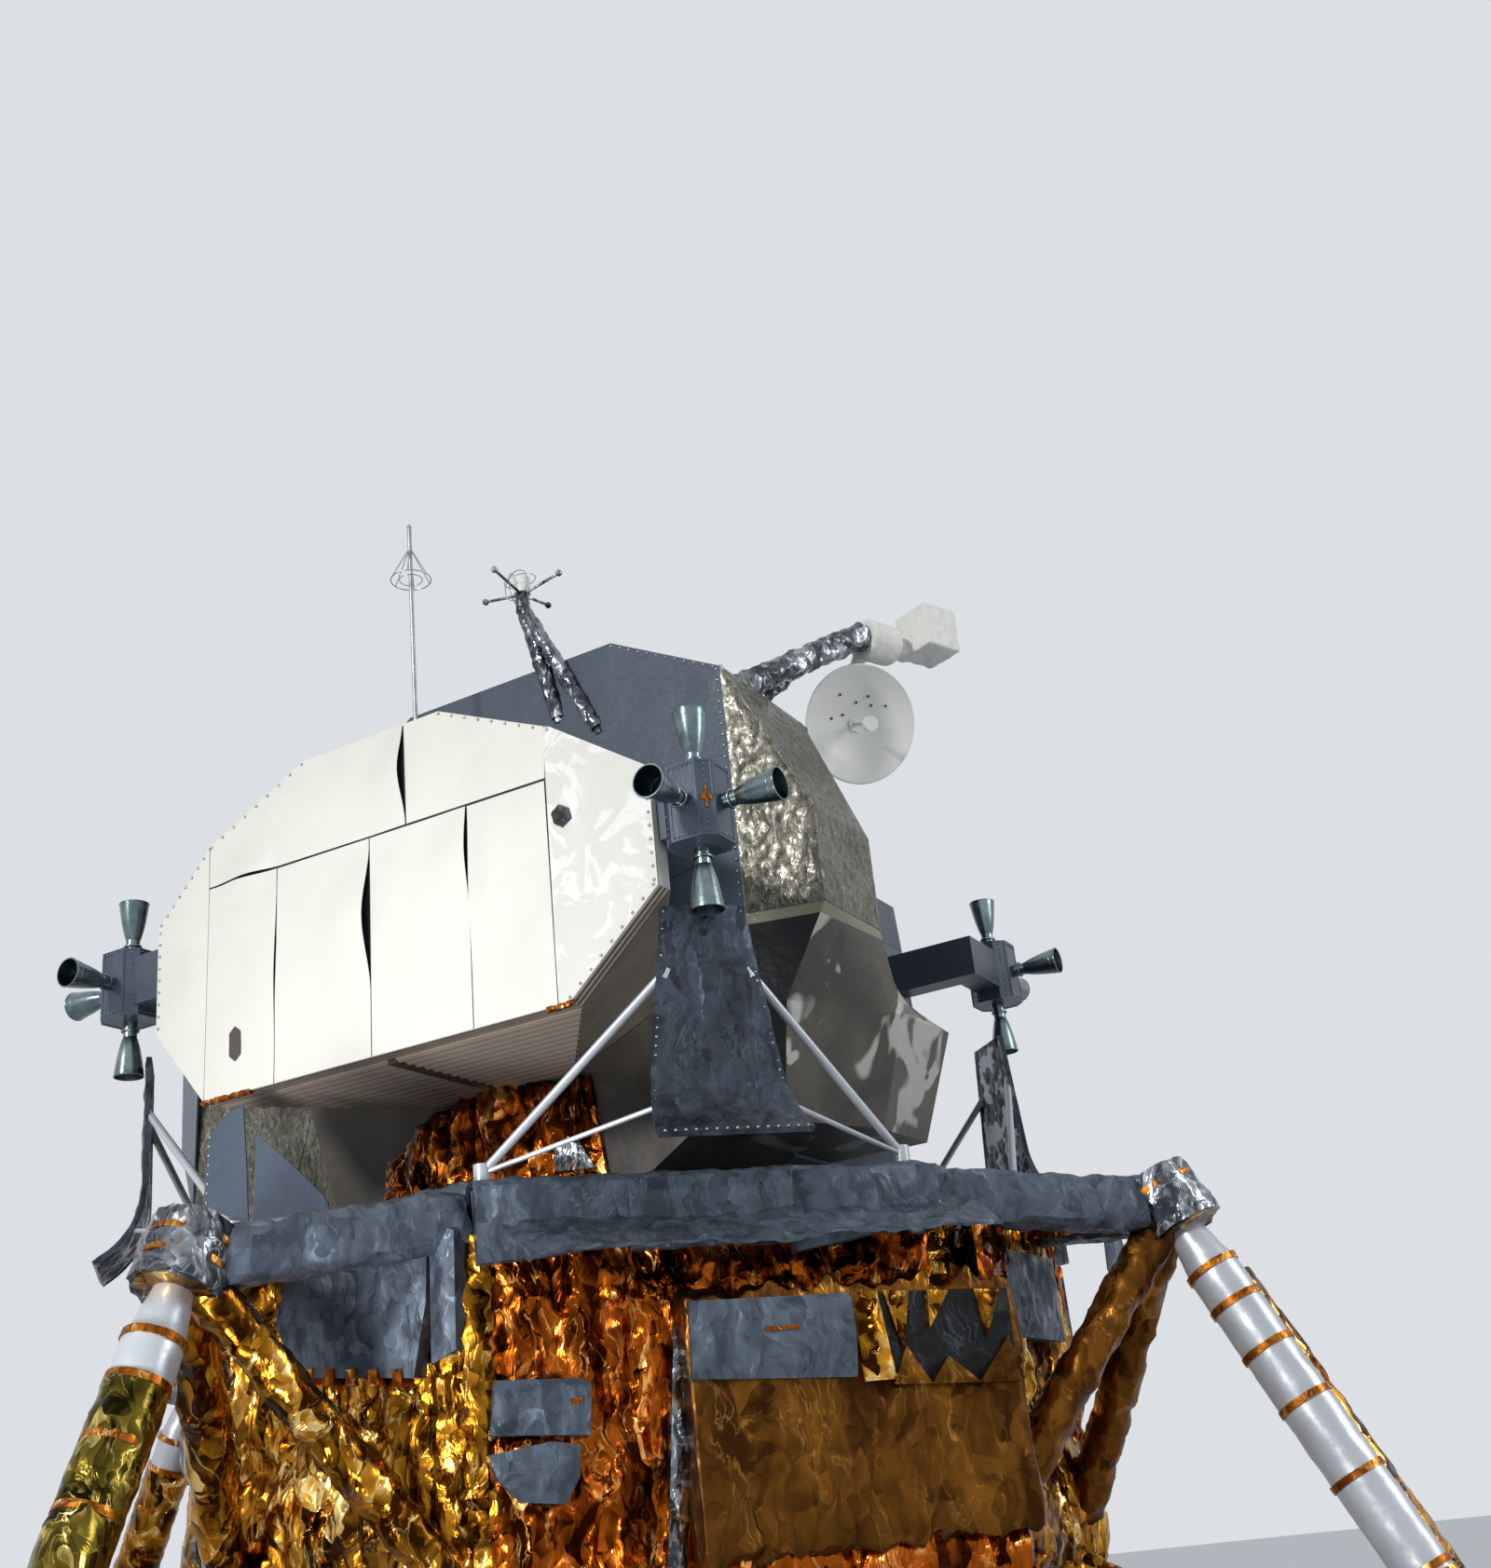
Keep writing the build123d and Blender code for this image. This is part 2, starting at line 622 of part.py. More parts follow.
# Four landing legs, each with its outrigger, primary strut, side struts and footpad
for leg, heading in LEGS.items():
    apex = around(heading, LEG_APEX_R, 0, LEG_APEX_Z)
    pad_joint = around(heading, PAD_CENTRE_R, 0, PAD_JOINT_Z)
    run = pad_joint - apex
    down = run.normalized()
    end_face = heading_plane(heading, STAGE_HALF)

    with BuildPart() as outrigger:
        for side in SIDES:
            beam_side = side * (END_HALF - OUTRIGGER_WIDE / 2)
            beam_root = around(heading, STAGE_HALF - OUTRIGGER_ROOT_IN, beam_side, OUTRIGGER_ROOT_Z)
            beam(beam_root, apex, OUTRIGGER_WIDE, OUTRIGGER_HIGH)
            brace_root = around(heading, STAGE_HALF - BRACE_ROOT_IN, side * BRACE_ROOT_SIDE, BRACE_ROOT_Z)
            bar(brace_root, apex, BRACE_R)
        hub_end = apex + down * HUB_HALF
        bar(apex - down * HUB_HALF, hub_end, HUB_R)
        with BuildSketch(Plane(origin=hub_end, z_dir=down)):
            Circle(STRUT_UPPER_R + FIT)
        extrude(amount=2 * STRUT_NECK_LONG, mode=Mode.SUBTRACT)
        trim_behind(end_face)
    save(outrigger, f"{leg}_outrigger")

    neck_end = hub_end + down * STRUT_NECK_LONG
    sleeve_end = apex + run * STRUT_SPLIT
    pad_end = pad_joint - down * PAD_SOCKET_LONG
    with BuildPart() as primary_strut:
        cone(hub_end, neck_end, STRUT_NECK_R, STRUT_UPPER_R)
        bar(neck_end, sleeve_end, STRUT_UPPER_R)
        bar(sleeve_end, pad_end, STRUT_LOWER_R)
    save(primary_strut, f"{leg}_primary_strut")

    collar = apex + run * COLLAR_AT
    with BuildPart() as side_struts:
        for side in SIDES:
            node = around(heading, TRUSS_NODE_R, side * TRUSS_NODE_SIDE, TRUSS_NODE_Z)
            bar(node, collar + around(heading, 0, side * COLLAR_SIDE, 0), SIDE_STRUT_R)
            for root_side in (BRACE_ROOT_SIDE, TRUSS_INNER_SIDE):
                root = around(heading, STAGE_HALF - BRACE_ROOT_IN, side * root_side, TRUSS_ROOT_Z)
                bar(root, node, TRUSS_R)
            bar(node - UP * NODE_HALF, node + UP * NODE_HALF, NODE_R)
        bar(
            around(heading, TRUSS_NODE_R, -TRUSS_NODE_SIDE, TRUSS_NODE_Z),
            around(heading, TRUSS_NODE_R, TRUSS_NODE_SIDE, TRUSS_NODE_Z), TRUSS_R,
        )
        bar(collar - down * COLLAR_HIGH / 2, collar + down * COLLAR_HIGH / 2, STRUT_UPPER_R + COLLAR_WALL)
        bore(collar, down, STRUT_UPPER_R + FIT, 2 * COLLAR_HIGH)
        trim_behind(end_face)
    save(side_struts, f"{leg}_side_struts")

    pad_centre = around(heading, PAD_CENTRE_R, 0, 0)
    rim_in = PAD_R - PAD_WALL - PAD_RIM_TOP
    with BuildPart() as footpad:
        with BuildSketch(Plane(origin=pad_centre, x_dir=(1, 0, 0), z_dir=(0, -1, 0))):
            outline((
                (0, 0), (PAD_FLOOR_R, 0), (PAD_R - PAD_FLARE, PAD_HIGH - PAD_FLARE_LOW), (PAD_R, PAD_HIGH),
                (rim_in, PAD_HIGH), (rim_in - PAD_LIP_WIDE, PAD_HIGH - PAD_LIP),
                (PAD_FLOOR_R - LAP, PAD_WALL), (0, PAD_WALL),
            ))
        revolve(axis=Axis(pad_centre, (0, 0, 1)))
        bar(pad_centre + UP * PAD_WALL / 2, pad_centre + UP * PAD_SEAT_HIGH, PAD_SEAT_R)
        cone(pad_joint + down * (PAD_SEAT_HIGH - PAD_CUP_DROP), pad_end, PAD_CUP_R, PAD_SOCKET_R)
    save(footpad, f"{leg}_footpad")

# Ladder on the forward leg: two rails with rungs, held off the strut by three clamps
FORWARD = LEGS["forward"]
ladder_apex = around(FORWARD, LEG_APEX_R, 0, LEG_APEX_Z)
ladder_run = around(FORWARD, PAD_CENTRE_R, 0, PAD_JOINT_Z) - ladder_apex
ladder_down = ladder_run.normalized()
ladder_out = ladder_down.cross(Vector(1, 0, 0)).normalized()


def on_ladder(share, side, off=LADDER_OFFSET):
    """A place beside the forward strut: a share of its length, a side and a distance off its axis."""
    return ladder_apex + ladder_run * share + ladder_out * off + Vector(side, 0, 0)


with BuildPart() as ladder:
    for side in (-LADDER_HALF, LADDER_HALF):
        bar(on_ladder(LADDER_TOP, side), on_ladder(LADDER_FOOT, side), LADDER_RAIL_R)
    first_rung = LADDER_TOP + RUNG_MARGIN
    rung_step = (LADDER_FOOT - RUNG_MARGIN - first_rung) / (RUNG_COUNT - 1)
    for rung in range(RUNG_COUNT):
        share = first_rung + rung_step * rung
        bar(on_ladder(share, -LADDER_HALF), on_ladder(share, LADDER_HALF), RUNG_R)
    for share in CLAMP_PLACES:
        middle = ladder_apex + ladder_run * share
        for side in (-LADDER_HALF, LADDER_HALF):
            bar(middle, on_ladder(share, side), CLAMP_ROD_R)
        clamp_reach = ladder_down * CLAMP_HIGH / 2
        bar(middle - clamp_reach, middle + clamp_reach, STRUT_UPPER_R + CLAMP_WALL)
    bore(ladder_apex + ladder_run / 2, ladder_down, STRUT_UPPER_R + FIT, ladder_run.length / 2)
save(ladder, "ladder")

# Porch in front of the hatch: a grooved platform with two side rails, on posts and two struts
PORCH_LONG = PORCH_OUTER - PORCH_INNER
PORCH_MIDDLE = (0, -(PORCH_INNER + PORCH_OUTER) / 2)
PORCH_TOP_Z = PORCH_Z + PORCH_THICK
with BuildPart() as porch:
    with BuildSketch(Plane.XY.offset(PORCH_Z)):
        with Locations(PORCH_MIDDLE):
            Rectangle(2 * PORCH_HALF, PORCH_LONG)
    extrude(amount=PORCH_THICK)
    with BuildSketch(Plane.XY.offset(PORCH_TOP_Z)):
        with Locations(PORCH_MIDDLE):
            with GridLocations(0, PORCH_LONG / (TREAD_COUNT + 1), 1, TREAD_COUNT):
                Rectangle(2 * (PORCH_HALF - TREAD_MARGIN), TREAD_WIDE)
    extrude(amount=-TREAD_DEEP, mode=Mode.SUBTRACT)
    for side in SIDES:
        for back in (PORCH_INNER + PORCH_MARGIN, STAGE_HALF - PORCH_MARGIN):
            foot = Vector(side * PORCH_POST_SIDE, -back, DECK_TOP_Z)
            bar(foot, foot + UP * (PORCH_Z + LAP / 2 - DECK_TOP_Z), PORCH_POST_R)
        bar(
            (side * PORCH_STRUT_SIDE, -STAGE_HALF + PORCH_STRUT_IN, PORCH_STRUT_Z),
            (side * PORCH_STRUT_SIDE, -PORCH_OUTER + PORCH_STRUT_SHORT, PORCH_Z + LAP / 2), PORCH_STRUT_R,
        )
        x = side * (PORCH_HALF - RAIL_R)
        low = PORCH_TOP_Z - LAP / 2
        high = PORCH_TOP_Z + RAIL_HIGH
        rail = (
            (x, -RAIL_REAR, low), (x, -RAIL_REAR, high),
            (x, -PORCH_OUTER + RAIL_SLOPE, high), (x, -PORCH_OUTER + PORCH_MARGIN, low),
        )
        bent_tube(rail, RAIL_BEND, RAIL_R)
    with BuildSketch(Plane.XZ.offset(STAGE_HALF)):
        with Locations((0, PORCH_STRUT_Z)):
            Rectangle(2 * PORCH_HALF, 2 * PORCH_STRUT_SIDE)
    extrude(amount=-2 * PORCH_STRUT_IN, mode=Mode.SUBTRACT)
save(porch, "porch")

# Probes of three legs: rods that hang from the pad's rim and lie bent along the floor
PROBE_LIE_Z = PROBE_R + PROBE_LIFT
with BuildPart() as landing_probes:
    for leg in ("aft", "starboard", "port"):
        heading = LEGS[leg]
        side = PAD_R + PROBE_R + FIT
        top = around(heading, PAD_CENTRE_R, side, PAD_HIGH)
        bend = around(heading, PAD_CENTRE_R, side, PROBE_LIE_Z)
        tip = around(heading, PAD_CENTRE_R - PROBE_DRIFT, side + PROBE_LONG, PROBE_LIE_Z)
        bent_tube((top, bend, tip), PROBE_BEND, PROBE_R)
save(landing_probes, "landing_probes")


def chute_wall(face, lift):
    """One face of a chute's wall, from its top down to the outward sweep of its foot."""
    Line((face, DEFLECTOR_TOP_Z), (face, DEFLECTOR_STRAIGHT_Z))
    return TangentArc(
        (face, DEFLECTOR_STRAIGHT_Z), (face + DEFLECTOR_SWEEP, DEFLECTOR_FOOT_Z + lift), tangent=(0, -1),
    )


# Plume deflectors: a chute under each quad's lower bell, wider at its foot, on tubes from the deck's corners
CORNER_SIDE = (STAGE_HALF - END_HALF) / sqrt(2)
for quad, heading in QUADS.items():
    face = DEFLECTOR_BACK_R
    with BuildPart() as deflector:
        with BuildSketch(along_plane(heading, 0, 0)):
            with BuildLine():
                back_foot = chute_wall(face, 0)
                front_foot = chute_wall(face + DEFLECTOR_WALL, DEFLECTOR_WALL / 2)
                Line(back_foot @ 1, front_foot @ 1)
                Line((face, DEFLECTOR_TOP_Z), (face + DEFLECTOR_WALL, DEFLECTOR_TOP_Z))
            make_face()
        extrude(amount=DEFLECTOR_FOOT_WIDE / 2, both=True)
        with BuildSketch(heading_plane(heading, face - LAP)):
            outline((
                (-DEFLECTOR_TOP_WIDE / 2, DEFLECTOR_TOP_Z), (DEFLECTOR_TOP_WIDE / 2, DEFLECTOR_TOP_Z),
                (DEFLECTOR_FOOT_WIDE / 2, DEFLECTOR_FOOT_Z), (-DEFLECTOR_FOOT_WIDE / 2, DEFLECTOR_FOOT_Z),
            ))
        extrude(amount=2 * DEFLECTOR_SWEEP, mode=Mode.INTERSECT)
        for side in SIDES:
            post_side = side * (CORNER_SIDE - POST_SIDE_IN)
            post_foot = around(heading, DIAGONAL_OUT - POST_IN, post_side, DECK_TOP_Z)
            post_head = post_foot + UP * POST_HIGH * 2 / 3
            bar(post_foot, post_foot + UP * POST_HIGH, POST_R)
            middle = face + DEFLECTOR_WALL / 2
            tube_end = around(heading, middle, side * TUBE_HIGH_SIDE, DEFLECTOR_TOP_Z - TUBE_HIGH_DROP)
            bar(post_head, tube_end, TUBE_R)
            bar(tube_end, tube_end + around(heading, 0, side * LAP, -2 * LAP), TUBE_R)
            rod_end = around(heading, face + ROD_OUT, side * ROD_SIDE, DEFLECTOR_TOP_Z - ROD_DROP)
            bar(post_head, rod_end, ROD_R)
    save(deflector, f"{quad}_deflector")

# Equipment pallet: folds down out of its recess on two pins at its lower edge
with BuildPart() as equipment_pallet:
    with BuildSketch(along_plane(PALLET_HEADING, PIVOT_OUT, -PALLET_HALF, PALLET_PIVOT_Z)):
        back = PALLET_PIVOT_IN - PALLET_DEEP
        outline((
            (PALLET_PIVOT_IN, 0), (PALLET_PIVOT_IN, PALLET_HIGH), (back, PALLET_HIGH - PALLET_TOP_SLOPE),
            (back, -PALLET_TOE), (LAP, -PALLET_HEEL),
        ))
    extrude(amount=-2 * PALLET_HALF)
    pin_half = RECESS_HALF + PALLET_PIN_OUT
    bar(
        around(PALLET_HEADING, PIVOT_OUT, -pin_half, PALLET_PIVOT_Z),
        around(PALLET_HEADING, PIVOT_OUT, pin_half, PALLET_PIVOT_Z), PALLET_PIN_R,
    )
save(equipment_pallet, "equipment_pallet")

# Stowage locker that stands out from the aft starboard diagonal face
with BuildPart() as aft_locker:
    with BuildSketch(heading_plane(LOCKER_HEADING, DIAGONAL_OUT)):
        with Locations(((LOCKER_LEFT + LOCKER_RIGHT) / 2, (LOCKER_LOW_Z + LOCKER_TOP_Z) / 2)):
            Rectangle(LOCKER_RIGHT - LOCKER_LEFT, LOCKER_TOP_Z - LOCKER_LOW_Z)
    extrude(amount=LOCKER_OUT)
save(aft_locker, "aft_locker")

# Sloped cover above the locker
with BuildPart() as aft_awning:
    with BuildSketch(along_plane(LOCKER_HEADING, DIAGONAL_OUT, AWNING_LEFT)):
        outline((
            (0, AWNING_ROOT_Z), (AWNING_OUT, AWNING_LOW_Z + AWNING_THICK), (AWNING_OUT, AWNING_LOW_Z),
            (0, AWNING_ROOT_Z - AWNING_THICK),
        ))
    extrude(amount=-(AWNING_RIGHT - AWNING_LEFT))
save(aft_awning, "aft_awning")

# Landing radar: a flat antenna that tilts between two ears under the aft end of the heat shield
RADAR_Z = DECK_LOW_Z - SHIELD_DROP - RADAR_HANG
RADAR_EAR_IN = RADAR_WIDE / 2 + RADAR_EAR_GAP
RADAR_EAR_END = RADAR_EAR_IN + RADAR_EAR_THICK
with BuildPart() as landing_radar:
    with Locations((0, RADAR_AFT, RADAR_Z)):
        Box(RADAR_WIDE, RADAR_LONG, RADAR_HIGH)
    bar((-RADAR_EAR_END, RADAR_AFT, RADAR_Z), (RADAR_EAR_END, RADAR_AFT, RADAR_Z), RADAR_PIN_R)
save(landing_radar, "landing_radar")

with BuildPart() as landing_radar_mount:
    for side in SIDES:
        with Locations((side * (RADAR_EAR_IN + RADAR_EAR_END) / 2, RADAR_AFT, RADAR_Z + RADAR_HANG / 2)):
            Box(RADAR_EAR_THICK, RADAR_EAR_LONG, RADAR_HANG)
        ear_face = Vector(side * RADAR_EAR_IN, RADAR_AFT, RADAR_Z)
        bar(ear_face, ear_face + Vector(side * RADAR_EAR_THICK, 0, 0), RADAR_EAR_R)
    bore((0, RADAR_AFT, RADAR_Z), (1, 0, 0), RADAR_PIN_R + FIT, RADAR_WIDE)
save(landing_radar_mount, "landing_radar_mount")

# Outlines of the ascent stage: X to port and height above the cabin's base, seen along the craft
MID_PORT = ((762, 0), (1100, 196), (PORT_INNER, 896), (PORT_INNER, 2156), (520, ROOF_HIGH))
MID_AFT_OUTLINE = MID_PORT + (
    (-798, ROOF_HIGH), (-STARBOARD_INNER, SHOULDER_HIGH), (-STARBOARD_INNER, 1104), (-1100, 196), (-762, 0),
)
MID_FORE_OUTLINE = MID_PORT + (
    (-680, ROOF_HIGH), (-1270, 2236), (-1270, 896), (-1050, 156), (-762, 0),
)
CABIN_OUTLINE = (
    (560, CABIN_ROOF_HIGH), (-560, CABIN_ROOF_HIGH), (-CABIN_HALF, 1776), (-1270, 966), (-1000, 156),
    (-400, 0), (400, 0), (1000, 156), (1270, 966), (CABIN_HALF, 1776),
)
PORT_OUTLINE = (
    (1000, 2096), (1750, 2156), (PORT_SHOULDER, 1926), (PORT_SIDE, 1526),
    (PORT_SIDE, 776), (PORT_SHOULDER, 356), (1700, 176), (1000, 176),
)
STARBOARD_OUTLINE = (
    (-1000, SHOULDER_HIGH), (-STARBOARD_INNER, SHOULDER_HIGH), (-STARBOARD_SIDE, 1586),
    (-STARBOARD_SIDE, 1104), (-1000, 1104),
)
BAY_REAR_OUTLINE = (
    (417, BAY_TOP_REAR_HIGH), (-417, BAY_TOP_REAR_HIGH), (-1029, 1849),
    (-BAY_STARBOARD_SIDE, 1503), (-BAY_STARBOARD_SIDE, 962), (-1044, BAY_FLOOR_HIGH), (1044, BAY_FLOOR_HIGH),
    (BAY_PORT_SIDE, 962), (BAY_PORT_SIDE, 1503), (1029, 1849),
)
BAY_FRONT_OUTLINE = (
    (417, BAY_TOP_FRONT_HIGH), (-417, BAY_TOP_FRONT_HIGH), (-700, 1896), (-900, 1596), (-900, 766),
    (-406, BAY_FLOOR_HIGH), (406, BAY_FLOOR_HIGH), (900, 766), (900, 1596), (700, 1896),
)
# Plans of the starboard side's lower housing at three heights, X to port and Y to aft
LOWER_HOUSING = {
    1104: (
        (-1000, 838), (-STARBOARD_INNER, 838), (-STARBOARD_SIDE, 737), (-STARBOARD_SIDE, 145),
        (-STARBOARD_INNER, -40), (-1000, -40),
    ),
    701: ((-1000, 790), (-1300, 760), (-1499, 686), (-1778, 0), (-1803, -508), (-1000, -508)),
    171: ((-1000, 740), (-1200, 700), (-1380, 600), (-1595, 0), (-1600, -508), (-1000, -508)),
}


def section_plane(forward):
    """An upright plane across the craft at a place towards the hatch, with its origin at the cabin's base."""
    return Plane(origin=(0, -forward, CABIN_BASE_Z), x_dir=(1, 0, 0), z_dir=(0, -1, 0))


def prism(points, start, end, grow=0, mode=Mode.ADD):
    """An outline carried along the craft between two places counted towards the hatch."""
    with BuildSketch(section_plane(start)) as section:
        outline(points)
        if grow:
            offset(amount=grow, kind=Kind.INTERSECTION, mode=Mode.REPLACE)
    extrude(section.sketch, amount=end - start, mode=mode)


def cut_midsection():
    """Takes the midsection's space out of a piece that seats on it."""
    prism(MID_AFT_OUTLINE, MID_REAR, MID_STEP, mode=Mode.SUBTRACT)
    prism(MID_FORE_OUTLINE, MID_STEP, MID_FRONT, mode=Mode.SUBTRACT)


def cut_tunnel():
    """The round hole that the docking tunnel passes through."""
    with BuildSketch(Plane.XY.offset(TUNNEL_LOW_Z)) as section:
        Circle(TUNNEL_R + TUNNEL_WALL + FIT)
    extrude(section.sketch, amount=2 * (TUNNEL_TOP_Z - TUNNEL_LOW_Z), mode=Mode.SUBTRACT)


# Midsection: the hollow middle of the cabin, wider to starboard aft of the step in its roof
with BuildPart() as midsection:
    prism(MID_AFT_OUTLINE, MID_REAR, MID_STEP)
    prism(MID_AFT_OUTLINE, MID_REAR + WALL, MID_STEP - WALL, grow=-WALL, mode=Mode.SUBTRACT)
    prism(MID_FORE_OUTLINE, MID_REAR + WALL, MID_STEP + LAP, grow=-WALL, mode=Mode.SUBTRACT)
    cut_tunnel()
save(midsection, "midsection")

with BuildPart() as forward_midsection:
    prism(MID_FORE_OUTLINE, MID_STEP, MID_FRONT)
    prism(MID_FORE_OUTLINE, MID_STEP - LAP, MID_FRONT - WALL, grow=-WALL, mode=Mode.SUBTRACT)
    prism(CABIN_OUTLINE, MID_FRONT - WALL - LAP, MID_FRONT + LAP, grow=-WALL, mode=Mode.SUBTRACT)
    cut_tunnel()
save(forward_midsection, "forward_midsection")

# The two slanted panels of the nose that hold the windows
WINDOW_PLANE = {
    side: Plane(
        origin=(side * NOSE_HALF, -CABIN_NOSE, CABIN_BASE_Z),
        x_dir=(CABIN_HALF - NOSE_HALF, side * (CABIN_NOSE - NOSE_SIDE), 0),
        z_dir=(side * (CABIN_NOSE - NOSE_SIDE), -(CABIN_HALF - NOSE_HALF), 0),
    )
    for side in SIDES
}


def window_corners(side):
    """The three corners of a window on its slanted panel, as its distance along the panel and its height."""
    return [(side * along, high) for along, high in WINDOW_CORNERS]


def docking_window():
    """The small oblong window in the roof, over the port crew station."""
    with Locations((DOCKING_WINDOW[0], -DOCKING_WINDOW[1])):
        Rectangle(*DOCKING_WINDOW_SIZE)


# Front cabin: the faceted nose, open to the midsection, with the hatchway and three windows
with BuildPart() as front_cabin:
    prism(CABIN_OUTLINE, MID_FRONT, CABIN_NOSE)
    for side in SIDES:
        split(bisect_by=WINDOW_PLANE[side], keep=Keep.BOTTOM)
    brow = Plane(
        origin=(0, -CABIN_NOSE, CABIN_BASE_Z + BROW_HIGH), x_dir=(1, 0, 0),
        z_dir=(0, BROW_HIGH - CABIN_ROOF_HIGH, CABIN_NOSE - BROW_BACK),
    )
    split(bisect_by=brow, keep=Keep.BOTTOM)
    rear = front_cabin.faces().sort_by(Axis.Y)[-1]
    offset(amount=-WALL, openings=rear)
    with BuildSketch(Plane.XZ.offset(CABIN_NOSE)):
        with Locations((0, HATCH_MIDDLE_Z)):
            Rectangle(2 * HATCH_HALF, 2 * HATCH_HALF)
    extrude(amount=-2 * WALL, mode=Mode.SUBTRACT)
    for side in SIDES:
        with BuildSketch(WINDOW_PLANE[side]):
            outline(window_corners(side))
        extrude(amount=-3 * WALL, mode=Mode.SUBTRACT)
    with BuildSketch(Plane.XY.offset(CABIN_ROOF_Z)):
        docking_window()
    extrude(amount=-2 * WALL, mode=Mode.SUBTRACT)
save(front_cabin, "front_cabin")

# Window panes, set back in the wall
with BuildPart() as window_glass:
    for side in SIDES:
        with BuildSketch(WINDOW_PLANE[side].offset(-PANE_DEEP)):
            outline(window_corners(side))
        extrude(amount=PANE_THICK)
    with BuildSketch(Plane.XY.offset(CABIN_ROOF_Z - PANE_DEEP)):
        docking_window()
    extrude(amount=PANE_THICK)
save(window_glass, "window_glass")

# Forward hatch: seats on the inside of the hatchway and swings inward on its starboard edge
with BuildPart() as forward_hatch:
    with BuildSketch(Plane.XZ.offset(CABIN_NOSE - WALL - FIT)):
        with Locations((0, HATCH_MIDDLE_Z)):
            Rectangle(2 * (HATCH_HALF + HATCH_LIP), 2 * (HATCH_HALF + HATCH_LIP))
    extrude(amount=-HATCH_THICK)
    with BuildSketch(Plane.XZ.offset(CABIN_NOSE - WALL - PAST)):
        with Locations((0, HATCH_MIDDLE_Z)):
            RectangleRounded(2 * (HATCH_HALF - HATCH_STEP), 2 * (HATCH_HALF - HATCH_STEP / 2), HATCH_CORNER_R)
    extrude(amount=WALL + PAST - HATCH_SINK)
    for side in SIDES:
        hinge_z = HATCH_MIDDLE_Z + side * HATCH_HINGE_SPREAD
        hinge = Vector(HATCH_HINGE_X, HATCH_HINGE_DEEP + WALL - CABIN_NOSE, hinge_z)
        bar(hinge - UP * BARREL_LONG_HALF, hinge + UP * BARREL_LONG_HALF, HINGE_BARREL_R)
save(forward_hatch, "forward_hatch")

# Docking tunnel: a ring that stands through the roof, with a seat for the overhead hatch
with BuildPart() as docking_tunnel:
    with BuildSketch(Plane.XY.offset(TUNNEL_LOW_Z)):
        Circle(TUNNEL_R + TUNNEL_WALL)
        Circle(TUNNEL_R, mode=Mode.SUBTRACT)
    extrude(amount=TUNNEL_TOP_Z - TUNNEL_LOW_Z)
    with BuildSketch(Plane.XY.offset(ROOF_Z)):
        Circle(TUNNEL_R + TUNNEL_WALL + TUNNEL_FLANGE)
        Circle(TUNNEL_R, mode=Mode.SUBTRACT)
    extrude(amount=TUNNEL_FLANGE_HIGH)
save(docking_tunnel, "docking_tunnel")

# Overhead hatch: a disc under the tunnel that swings down into the cabin
with BuildPart() as overhead_hatch:
    with BuildSketch(Plane.XY.offset(TUNNEL_LOW_Z - FIT)):
        Circle(TUNNEL_R + TOP_HATCH_LIP)
    extrude(amount=-TOP_HATCH_THICK)
    hinge = Vector(0, TUNNEL_R + TOP_HINGE_OUT, TUNNEL_LOW_Z - TOP_HINGE_LOW)
    hinge_half = Vector(BARREL_LONG_HALF, 0, 0)
    bar(hinge - hinge_half, hinge + hinge_half, HINGE_BARREL_R + 2)
save(overhead_hatch, "overhead_hatch")

# Port tank bay: the large faceted cheek, with its two upright outer edges cut back
with BuildPart() as port_tank_bay:
    prism(PORT_OUTLINE, -PORT_HALF_LONG, PORT_FRONT_LONG)
    for front, long in ((1, PORT_FRONT_LONG), (-1, PORT_HALF_LONG)):
        corner = Plane(origin=(PORT_SHOULDER, -front * long, 0), z_dir=(PORT_CORNER_SLOPE, -front, 0))
        split(bisect_by=corner, keep=Keep.BOTTOM)
    cut_midsection()
save(port_tank_bay, "port_tank_bay")

# Starboard tank bay: an upper housing with slanted ends, and a lower one whose facets draw in under it
with BuildPart() as starboard_tank_bay:
    prism(STARBOARD_OUTLINE, MID_REAR, STARBOARD_FRONT)
    out_step = STARBOARD_SIDE - STARBOARD_INNER
    aft_cut = Plane(origin=(-STARBOARD_INNER, -MID_REAR, 0), z_dir=(-STARBOARD_AFT_DRAW, out_step, 0))
    split(bisect_by=aft_cut, keep=Keep.BOTTOM)
    fore_corner = (-STARBOARD_INNER, -STARBOARD_FRONT, 0)
    fore_cut = Plane(origin=fore_corner, z_dir=(-STARBOARD_FORE_DRAW, -out_step, 0))
    split(bisect_by=fore_cut, keep=Keep.BOTTOM)
    for high, plan in LOWER_HOUSING.items():
        with BuildSketch(Plane.XY.offset(CABIN_BASE_Z + high)):
            outline(plan)
    loft(ruled=True)
    cut_midsection()
save(starboard_tank_bay, "starboard_tank_bay")

